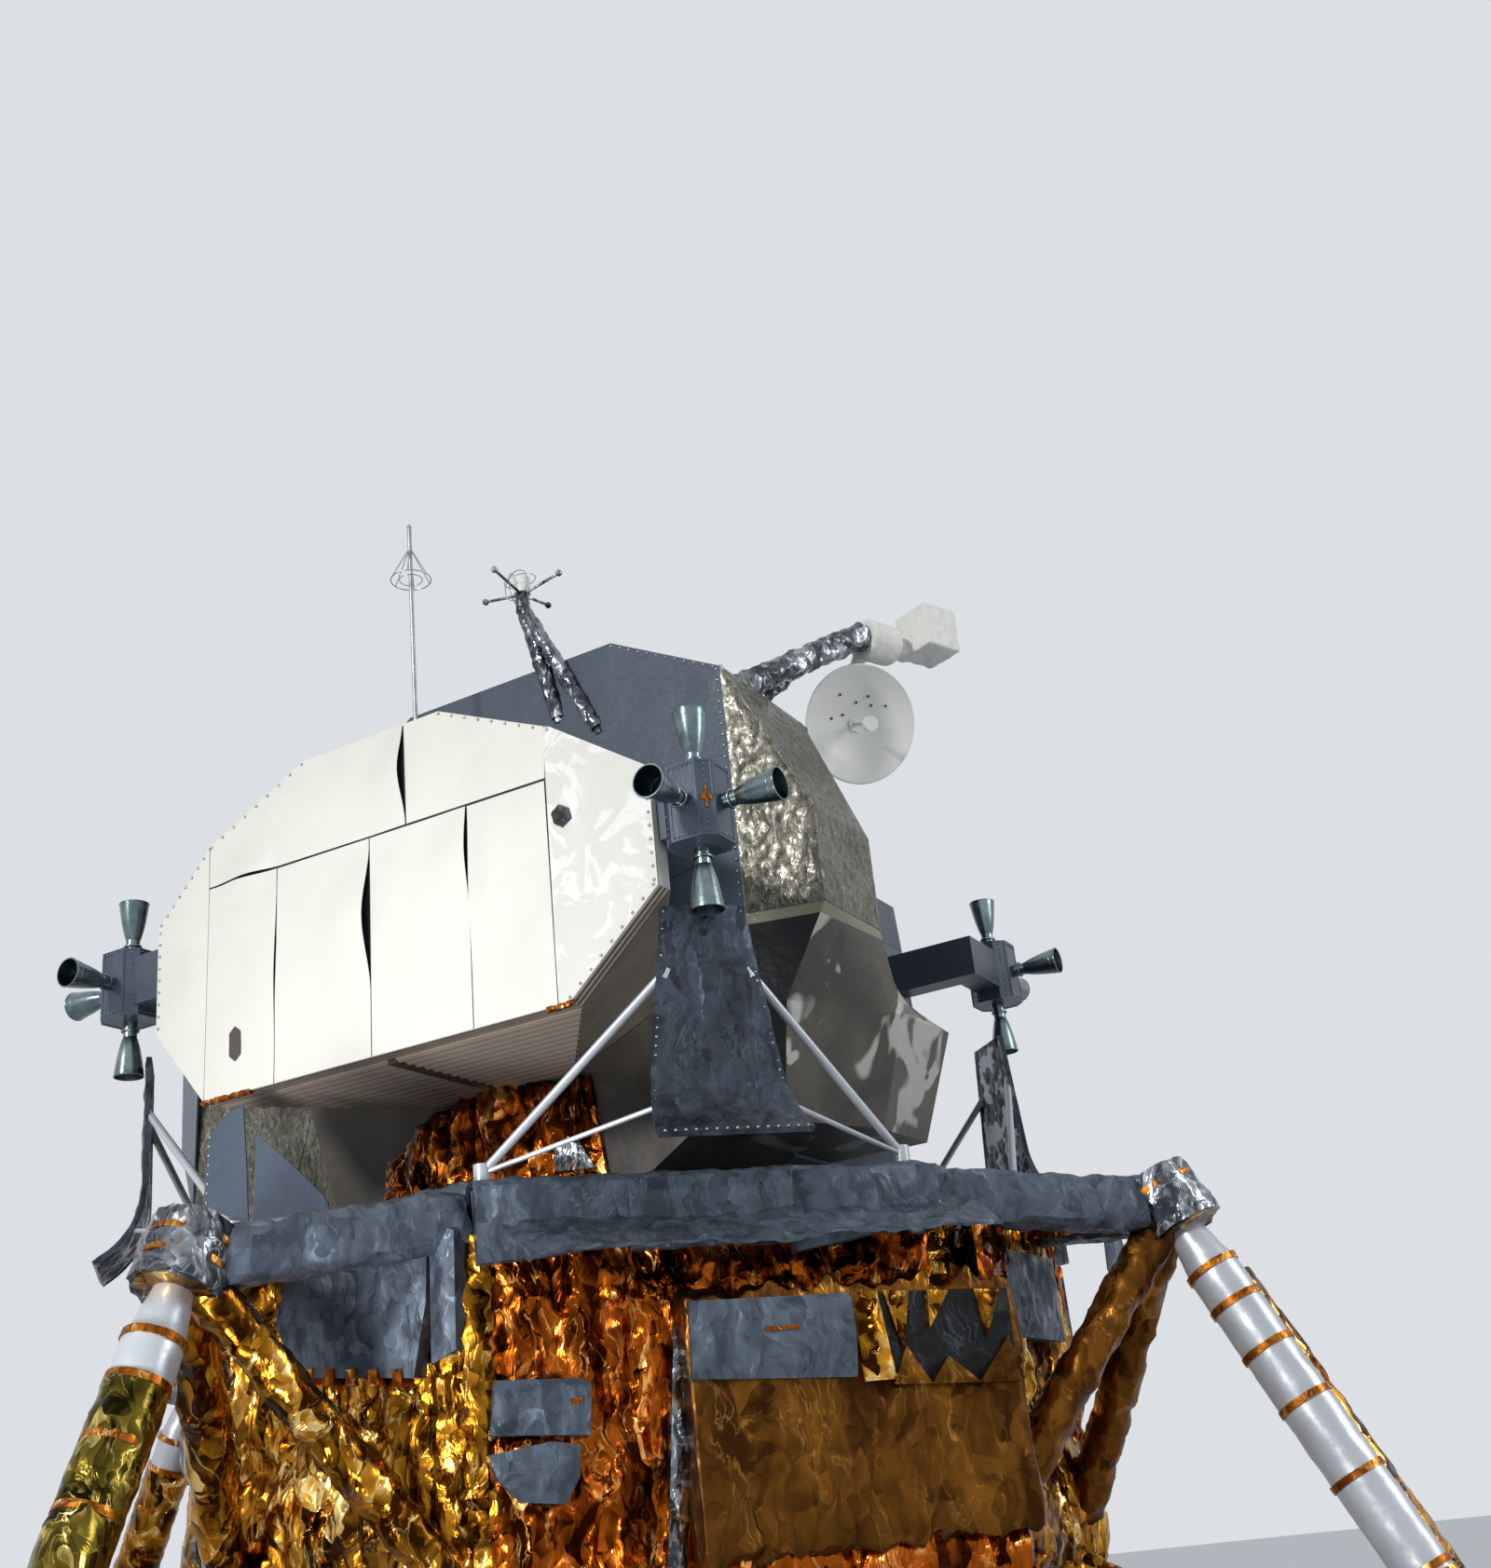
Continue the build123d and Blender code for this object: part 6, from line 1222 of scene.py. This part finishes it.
# %% Hatch frame, lights and rail of the nose
HATCH_Z, FRAME_HALF, SCREWS_OUT = 3.926, 0.426, 0.09
LIGHT_X, LIGHT_Z = 0.22, 4.62
RAIL_HALF, POST_X, RAIL_Z, RAIL_Y = 0.30, 0.29, 4.45, NOSE_Y - 0.05
hatch_corners = [Vector((x * FRAME_HALF, NOSE_Y - 0.006, HATCH_Z + z * FRAME_HALF))
                 for x, z in ((-1, -1), (1, -1), (1, 1), (-1, 1))]
frame_bars("hatch_frame", hatch_corners, 0.016, BARE)
rivets("hatch_screws", [place + Vector((place.x, 0, place.z - HATCH_Z)) * SCREWS_OUT
                        for place in screws_along(hatch_corners, 0.04, 12)], (0, -1, 0), 0.007, BARE)
bar_wrap("hatch_rail", (-RAIL_HALF, RAIL_Y, RAIL_Z), (RAIL_HALF, RAIL_Y, RAIL_Z), 0.012, BARE, (), 12, 0.3)
for count, side in enumerate((-1, 1)):
    x = side * LIGHT_X
    bar_wrap(f"nose_light_{count}", (x, NOSE_Y + 0.01, LIGHT_Z), (x, NOSE_Y - 0.05, LIGHT_Z), 0.045, BARE, (), 24,
             0.05, end_radius=0.055)
    x = side * POST_X
    bar_wrap(f"hatch_rail_post_{count}", (x, RAIL_Y, RAIL_Z), (x, NOSE_Y + 0.01, RAIL_Z), 0.010, BARE, (), 10,
             0.1)
print("hatch framed")

# %% Blankets on the faces that don't show in the photograph
HIDDEN_PATCHES = (
    (225, "left", block(-0.90, -0.18, 2.42, 2.90), BLANKET), (225, "right", block(0.20, 0.86, 1.72, 2.30), BROWN),
    (45, "right", block(0.16, 0.88, 2.30, 2.92), BLANKET), (45, "left", block(-0.86, -0.20, 1.74, 2.20), BROWN),
    (270, "left", block(-0.60, -0.10, 2.30, 2.88), DARK_SKIN),
    (0, "top", block(-0.46, 0.40, 2.48, 2.92), BLANKET), (180, "top", block(-0.42, 0.46, 2.52, 2.90), BLANKET),
)
for heading, part, outline, material in HIDDEN_PATCHES:
    skin(f"patch_{heading}_{part}", stage_face(heading), outline, material,
         BLANKET_WAVES if material is BLANKET else SHEET_WAVES, lift=0.115, back=0.06)
print("hidden patches:", len(HIDDEN_PATCHES))

# %% [markdown]
# ## Plume deflectors
#
# A deflector is a chute of thin crinkled sheet, riveted along its edges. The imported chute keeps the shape,
# and a crumpled sheet covers both of its sides. The sheet starts flat and gets the chute's outward sweep by
# the same arc.

# %% Measures of a chute
CHUTE_OUT, CHUTE_WALL = 2.262, 0.014
CHUTE_TOP, CHUTE_STRAIGHT, CHUTE_FOOT = 4.290, 3.640, 3.290
CHUTE_TOP_HALF, CHUTE_FOOT_HALF, CHUTE_SWEEP = 0.1725, 0.31, 0.21
CHUTE_DROP = CHUTE_STRAIGHT - CHUTE_FOOT
CHUTE_R = (CHUTE_SWEEP ** 2 + CHUTE_DROP ** 2) / (2 * CHUTE_SWEEP)
CHUTE_RIVETS, FOOT_RIVETS = 26, 15


def chute_out(z):
    """How far the chute's wall has swept out at a height."""
    fall = min(max(CHUTE_STRAIGHT - z, 0.0), CHUTE_DROP)
    return CHUTE_R - math.sqrt(CHUTE_R ** 2 - fall ** 2)


# %% Deflector sheets and their rivets
foot_wide, top_wide = CHUTE_FOOT_HALF + 0.006, CHUTE_TOP_HALF + 0.006
outline = [(-foot_wide, CHUTE_FOOT - 0.004), (foot_wide, CHUTE_FOOT - 0.004), (top_wide, CHUTE_TOP + 0.004),
           (-top_wide, CHUTE_TOP + 0.004)]
for quad, heading in QUADS.items():
    at = face_at(heading, CHUTE_OUT + CHUTE_WALL / 2)
    sheet = grid_on(outline, 0.016)
    ease_rim(sheet, outline, 0.03)
    for vertex in sheet.data.vertices:
        vertex.co.z = chute_out(vertex.co.y)
    sheet.data.transform(at)
    crumple(sheet, (("VORONOI", 0.10, 0.010), ("VORONOI", 0.045, 0.005)), "inner")
    modify(sheet, "SOLIDIFY", thickness=CHUTE_WALL + 0.012, offset=0.0)
    settle(sheet, f"{quad}_chute_sheet", SHEET_GRAY, smooth=25)
    places = []
    for step in range(CHUTE_RIVETS):
        share = (step + 0.5) / CHUTE_RIVETS
        z = CHUTE_TOP + (CHUTE_FOOT - CHUTE_TOP) * share
        half = CHUTE_TOP_HALF + (CHUTE_FOOT_HALF - CHUTE_TOP_HALF) * share - 0.008
        places += [at @ Vector((side * half, z, chute_out(z) + 0.012)) for side in (-1, 1)]
    places += row_on(at, (-0.29, CHUTE_FOOT + 0.01), (0.29, CHUTE_FOOT + 0.01), CHUTE_SWEEP + 0.008, FOOT_RIVETS)
    rivets(f"{quad}_chute_rivets", places, at.to_3x3() @ Vector((0, 0, 1)), 0.006, BARE)
print("deflectors:", len(QUADS))

# %% [markdown]
# ## Thruster quads
#
# Each housing is an eight-sided box of dark panels with rows of rivets, and its bells show turned rings. The
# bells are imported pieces; the rings, the panels and a cross of amber tape are added.

# %% Measures of a thruster group
QUAD_OUT = 1.676
QUAD_BOX, QUAD_HIGH, QUAD_CORNER = 0.24, 0.33, 0.058
BOX_HALF = QUAD_BOX / 2 + 0.008
CORNER_REACH = BOX_HALF - QUAD_CORNER / 2
BELL_LONG, BELL_THROAT_R, BELL_MIDDLE_R, BELL_EXIT_R = 0.215, 0.029, 0.057, 0.073
VERTICAL_REACH, SIDE_REACH = 0.457, 0.400
RING_SHARES = (0.12, 0.3, 0.48, 0.66, 0.84, 0.985)
TAPE_CROSS = ((0.012, 0.05), (0.05, 0.012))


def bell_radius(share):
    """The bell's outer radius at a share of its length, from throat to exit."""
    rest = 1 - share
    return rest ** 2 * BELL_THROAT_R + 2 * share * rest * BELL_MIDDLE_R + share ** 2 * BELL_EXIT_R


def quad_housing(centre):
    """The eight-sided box of a group, with a raised rim round each panel."""
    fresh()
    bpy.ops.mesh.primitive_cube_add(size=1)
    housing = bpy.context.object
    size = Matrix.Diagonal((2 * BOX_HALF, 2 * BOX_HALF, QUAD_HIGH + 0.016, 1))
    housing.data.transform(Matrix.Translation(centre) @ size)
    pick_edges(housing, lambda first, second: abs(first.z - second.z) > 0.1)
    bpy.ops.mesh.bevel(offset=QUAD_CORNER, segments=1)
    bpy.ops.mesh.select_all(action="SELECT")
    bpy.ops.mesh.inset(thickness=0.010, depth=0.0, use_individual=True)
    bpy.ops.mesh.inset(thickness=0.003, depth=-0.003, use_individual=True)
    bpy.ops.object.mode_set(mode="OBJECT")
    return housing


def bell_rings(centre, way, reach):
    """The turned rings of one bell, and the collar behind it."""
    way = Vector(way)
    throat = reach - BELL_LONG
    rings = [hoop("ring", centre + way * (throat + BELL_LONG * share), way, bell_radius(share), 0.0028, NOZZLE)
             for share in RING_SHARES]
    return rings + [hoop("ring", centre + way * (throat - 0.02), way, 0.040, 0.006, NOZZLE)]


def housing_rivets(centre):
    """Rows of rivets near the top and the foot of the flat panels, and down the corner panels."""
    places = []
    for row in (-1, 1):
        for x, y in ((1, 0), (0, 1), (-1, 0), (0, -1)):
            normal = Vector((x, y, 0))
            middle, side = centre + normal * (BOX_HALF + 0.001) + UP * row * 0.155, UP.cross(normal) * 0.055
            places += along(middle - side, middle + side, 6)
        for x, y in ((1, 1), (1, -1), (-1, 1), (-1, -1)):
            corner = Vector((x, y, 0))
            middle = centre + corner * CORNER_REACH + corner.normalized() * 0.001
            places += along(middle + UP * row * 0.04, middle + UP * row * 0.15, 5)
    return places


# %% Housings, rings and tape
for quad, heading in QUADS.items():
    x_sign = 1 if math.cos(math.radians(heading)) > 0 else -1
    y_sign = 1 if math.sin(math.radians(heading)) > 0 else -1
    corner = Vector((x_sign, y_sign, 0))
    centre = corner * QUAD_OUT + UP * QUAD_Z
    settle(quad_housing(centre), f"{quad}_housing", GRAY_SKIN, smooth=20)
    bells = (((0, 0, 1), VERTICAL_REACH), ((0, 0, -1), VERTICAL_REACH), ((x_sign, 0, 0), SIDE_REACH),
             ((0, y_sign, 0), SIDE_REACH))
    join(sum((bell_rings(centre, way, reach) for way, reach in bells), []), f"{quad}_bell_rings")
    rivets(f"{quad}_rivets", housing_rivets(centre), (0, 0, 1), 0.005, BARE)
    at = placing(UP.cross(corner), UP, centre + corner * CORNER_REACH)
    for count, (wide, high) in enumerate(TAPE_CROSS):
        skin(f"{quad}_tape_{count}", at, block(-wide / 2, wide / 2, -high, high), TAPE, lift=0.003, back=0.003)
print("thruster groups:", len(QUADS))

# %% [markdown]
# ## Antennas
#
# The boom is wrapped in crinkled silver film and its elbow in white cloth. The fixed antennas are wrapped
# tripods with wire hoops round their heads, and the mast carries a small cone of wire.

# %% The steerable antenna: its boom, its elbow and its dish
DISH_PIVOT, DISH_R = Vector((-1.516, -0.453, 5.933)), 0.33
DISH_AIM = Vector((-0.70, 0.574, -0.42)).normalized()
DISH_FLOOR, DISH_DEEP = 0.057, 0.093
DISH_DOTS = ((0.10, 0.4), (0.14, 0.9), (0.12, 1.6), (0.17, 1.2), (0.20, 0.6), (0.09, 2.6), (0.19, 2.2),
             (0.15, 3.0))
dish_side = UP.cross(DISH_AIM).normalized()
dish_up = DISH_AIM.cross(dish_side)
over_node("s_band_boom", "boom_wrap", SILVER_WRAP, (("VORONOI", 0.07, 0.016), ("VORONOI", 0.035, 0.007)), 0.010)
over_node("s_band_arm", "elbow_cloth", CLOTH, (("CLOUDS", 0.08, 0.008), ("VORONOI", 0.07, 0.006)), 0.009,
          "antenna_arm")
hoop("dish_rim", DISH_PIVOT + DISH_AIM * 0.134, DISH_AIM, DISH_R - 0.004, 0.005, WHITE_PAINT, "antenna_dish", 64)
dots = [DISH_PIVOT + DISH_AIM * (DISH_FLOOR + DISH_DEEP * (r / DISH_R) ** 2) + dish_side * r * math.cos(a)
        + dish_up * r * math.sin(a) for r, a in DISH_DOTS]
rivets("dish_dots", dots, DISH_AIM, 0.008, DARK_SKIN, "antenna_dish")
print("steerable antenna: dots", len(dots))

# %% The two fixed antennas: wrapped tripods with wire hoops
VHF_ANTENNAS = {
    "aft": ((-0.330, 0.930, 0.403), (-0.447, 0.828, -0.337), (-0.690, 0.828, -0.477), (-0.330, 0.700, -0.01)),
    "forward": ((0.620, -0.560, 0.323), (0.800, -0.500, -0.257), (0.440, -0.480, -0.01), (0.620, -0.640, -0.257)),
}
for name, places in VHF_ANTENNAS.items():
    head, *feet = (Vector(place) + UP * ROOF_Z for place in places)
    for count, foot in enumerate(feet):
        bar_wrap(f"{name}_vhf_leg_{count}", foot.lerp(head, 0.04), head - UP * 0.07, 0.033, SILVER_WRAP,
                 (("VORONOI", 0.05, 0.010), ("VORONOI", 0.025, 0.005)), 16, 0.012)
    loops = [hoop("loop", head + UP * 0.06 + Vector(way) * 0.04, way, 0.085, 0.0025, BARE, sides=36)
             for way in ((1, 0.3, 0), (0.2, 1, 0), (0.1, 0.2, 1))]
    join(loops, f"{name}_vhf_loops")
    bar_wrap(f"{name}_vhf_cap", head + UP * 0.02, head + UP * 0.11, 0.045, WHITE_PAINT, (), 24, 0.03)
print("fixed antennas:", len(VHF_ANTENNAS))

# %% The wire cone on the mast
WIRES, CONE_R, CONE_HIGH = 6, 0.105, 0.20
mast_low, mast_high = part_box("eva_antenna")
cone_top = (mast_low + mast_high) / 2
cone_top.z = mast_high.z - 0.14
cone_foot = cone_top - UP * CONE_HIGH
wires = [hoop("wire", cone_foot, UP, CONE_R, 0.003, BARE, "mast", 32),
         hoop("wire", cone_foot, UP, 0.06, 0.0025, BARE, "mast", 28)]
for count in range(WIRES):
    angle = math.tau * count / WIRES
    rim = cone_foot + Vector((math.cos(angle), math.sin(angle), 0)) * CONE_R
    wires.append(bar_wrap("wire", cone_top, rim, 0.0028, BARE, (), 6, 0.1, body="mast"))
join(wires, "mast_wire_cone")
print("wires in the cone:", WIRES)

# %% [markdown]
# ## Floor, sky and lamps
#
# The photograph's sky is black and its light is one hard sun from behind the left shoulder. The key lamp is a
# softer sun from that side. A low lamp, which the camera doesn't see, lights the underside of the aft bay,
# and a large one far out to starboard draws the edges on that side. The pale surround is a colour that only
# the camera, mirrors and glass see, so it puts no more light on the craft.

# %% Floor and surround
FLOOR_R = 60.0
SURROUND = (0.72, 0.74, 0.77, 1)
FILL = (0.34, 0.36, 0.39, 1)


def lay_floor():
    """A wide round floor that belongs to the studio, not to the craft."""
    fresh()
    bpy.ops.mesh.primitive_circle_add(vertices=96, radius=FLOOR_R, fill_type="NGON")
    floor = bpy.context.object
    floor.name = "studio_floor"
    f = Finish("floor_paint", Roughness=0.9)
    f.set(f.shader, {"Base_Color": f.mix(f.noise(0.8, 3), *colours("e0e2e4 e6e8e9"))})
    floor.data.materials.append(f.material)


def set_surround():
    """A pale surround where it is seen or mirrored, and a darker fill where it only gives light."""
    world = bpy.data.worlds.new("surround")
    bpy.context.scene.world = world
    world.use_nodes = True
    sky = Tree(world.node_tree)
    path = sky.node("ShaderNodeLightPath")
    seen = path["Is Camera Ray"].either(path["Is Glossy Ray"]).either(path["Is Transmission Ray"])
    sky.set(world.node_tree.nodes["Background"], {"Color": sky.mix(seen, FILL, SURROUND)})


lay_floor()
set_surround()
print("floor radius", FLOOR_R)


# %% Lamps
def hang_lamp(name, kind, place, aim, size, power, spread=180):
    """A lamp that the camera doesn't see: a sun of an angular size, or a disc of a width and a spread."""
    bpy.ops.object.light_add(type=kind, location=place)
    lamp = bpy.context.object
    lamp.name = name
    lamp.rotation_euler = (Vector(aim) - Vector(place)).to_track_quat("-Z", "Y").to_euler()
    lamp.data.energy = power
    lamp.visible_camera = False
    if kind == "SUN":
        lamp.data.angle = math.radians(size)
    else:
        lamp.data.shape = "DISK"
        lamp.data.size = size
        lamp.data.spread = math.radians(spread)


hang_lamp("key_lamp", "SUN", (2.6, 15.0, 9.2), (0, 0, 3.6), 8.0, 1.75)
hang_lamp("low_lamp", "AREA", (-0.5, 6.6, 0.9), (0, 1.3, 4.4), 1.6, 30, 56)
hang_lamp("rim_lamp", "AREA", (-14.0, -3.0, 9.0), (0, 0, 4.0), 6.0, 600)
bpy.context.scene.view_settings.view_transform = "Standard"

# %% Closing
added = [piece for piece in bpy.data.objects if piece.type == "MESH" and "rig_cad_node" not in piece]
counts = {piece.name: sum(len(face.vertices) - 2 for face in piece.data.polygons) for piece in added}
most = max(counts.items(), key=lambda count: count[1])
print("added pieces", len(added), "triangles", sum(counts.values()), "most", most)
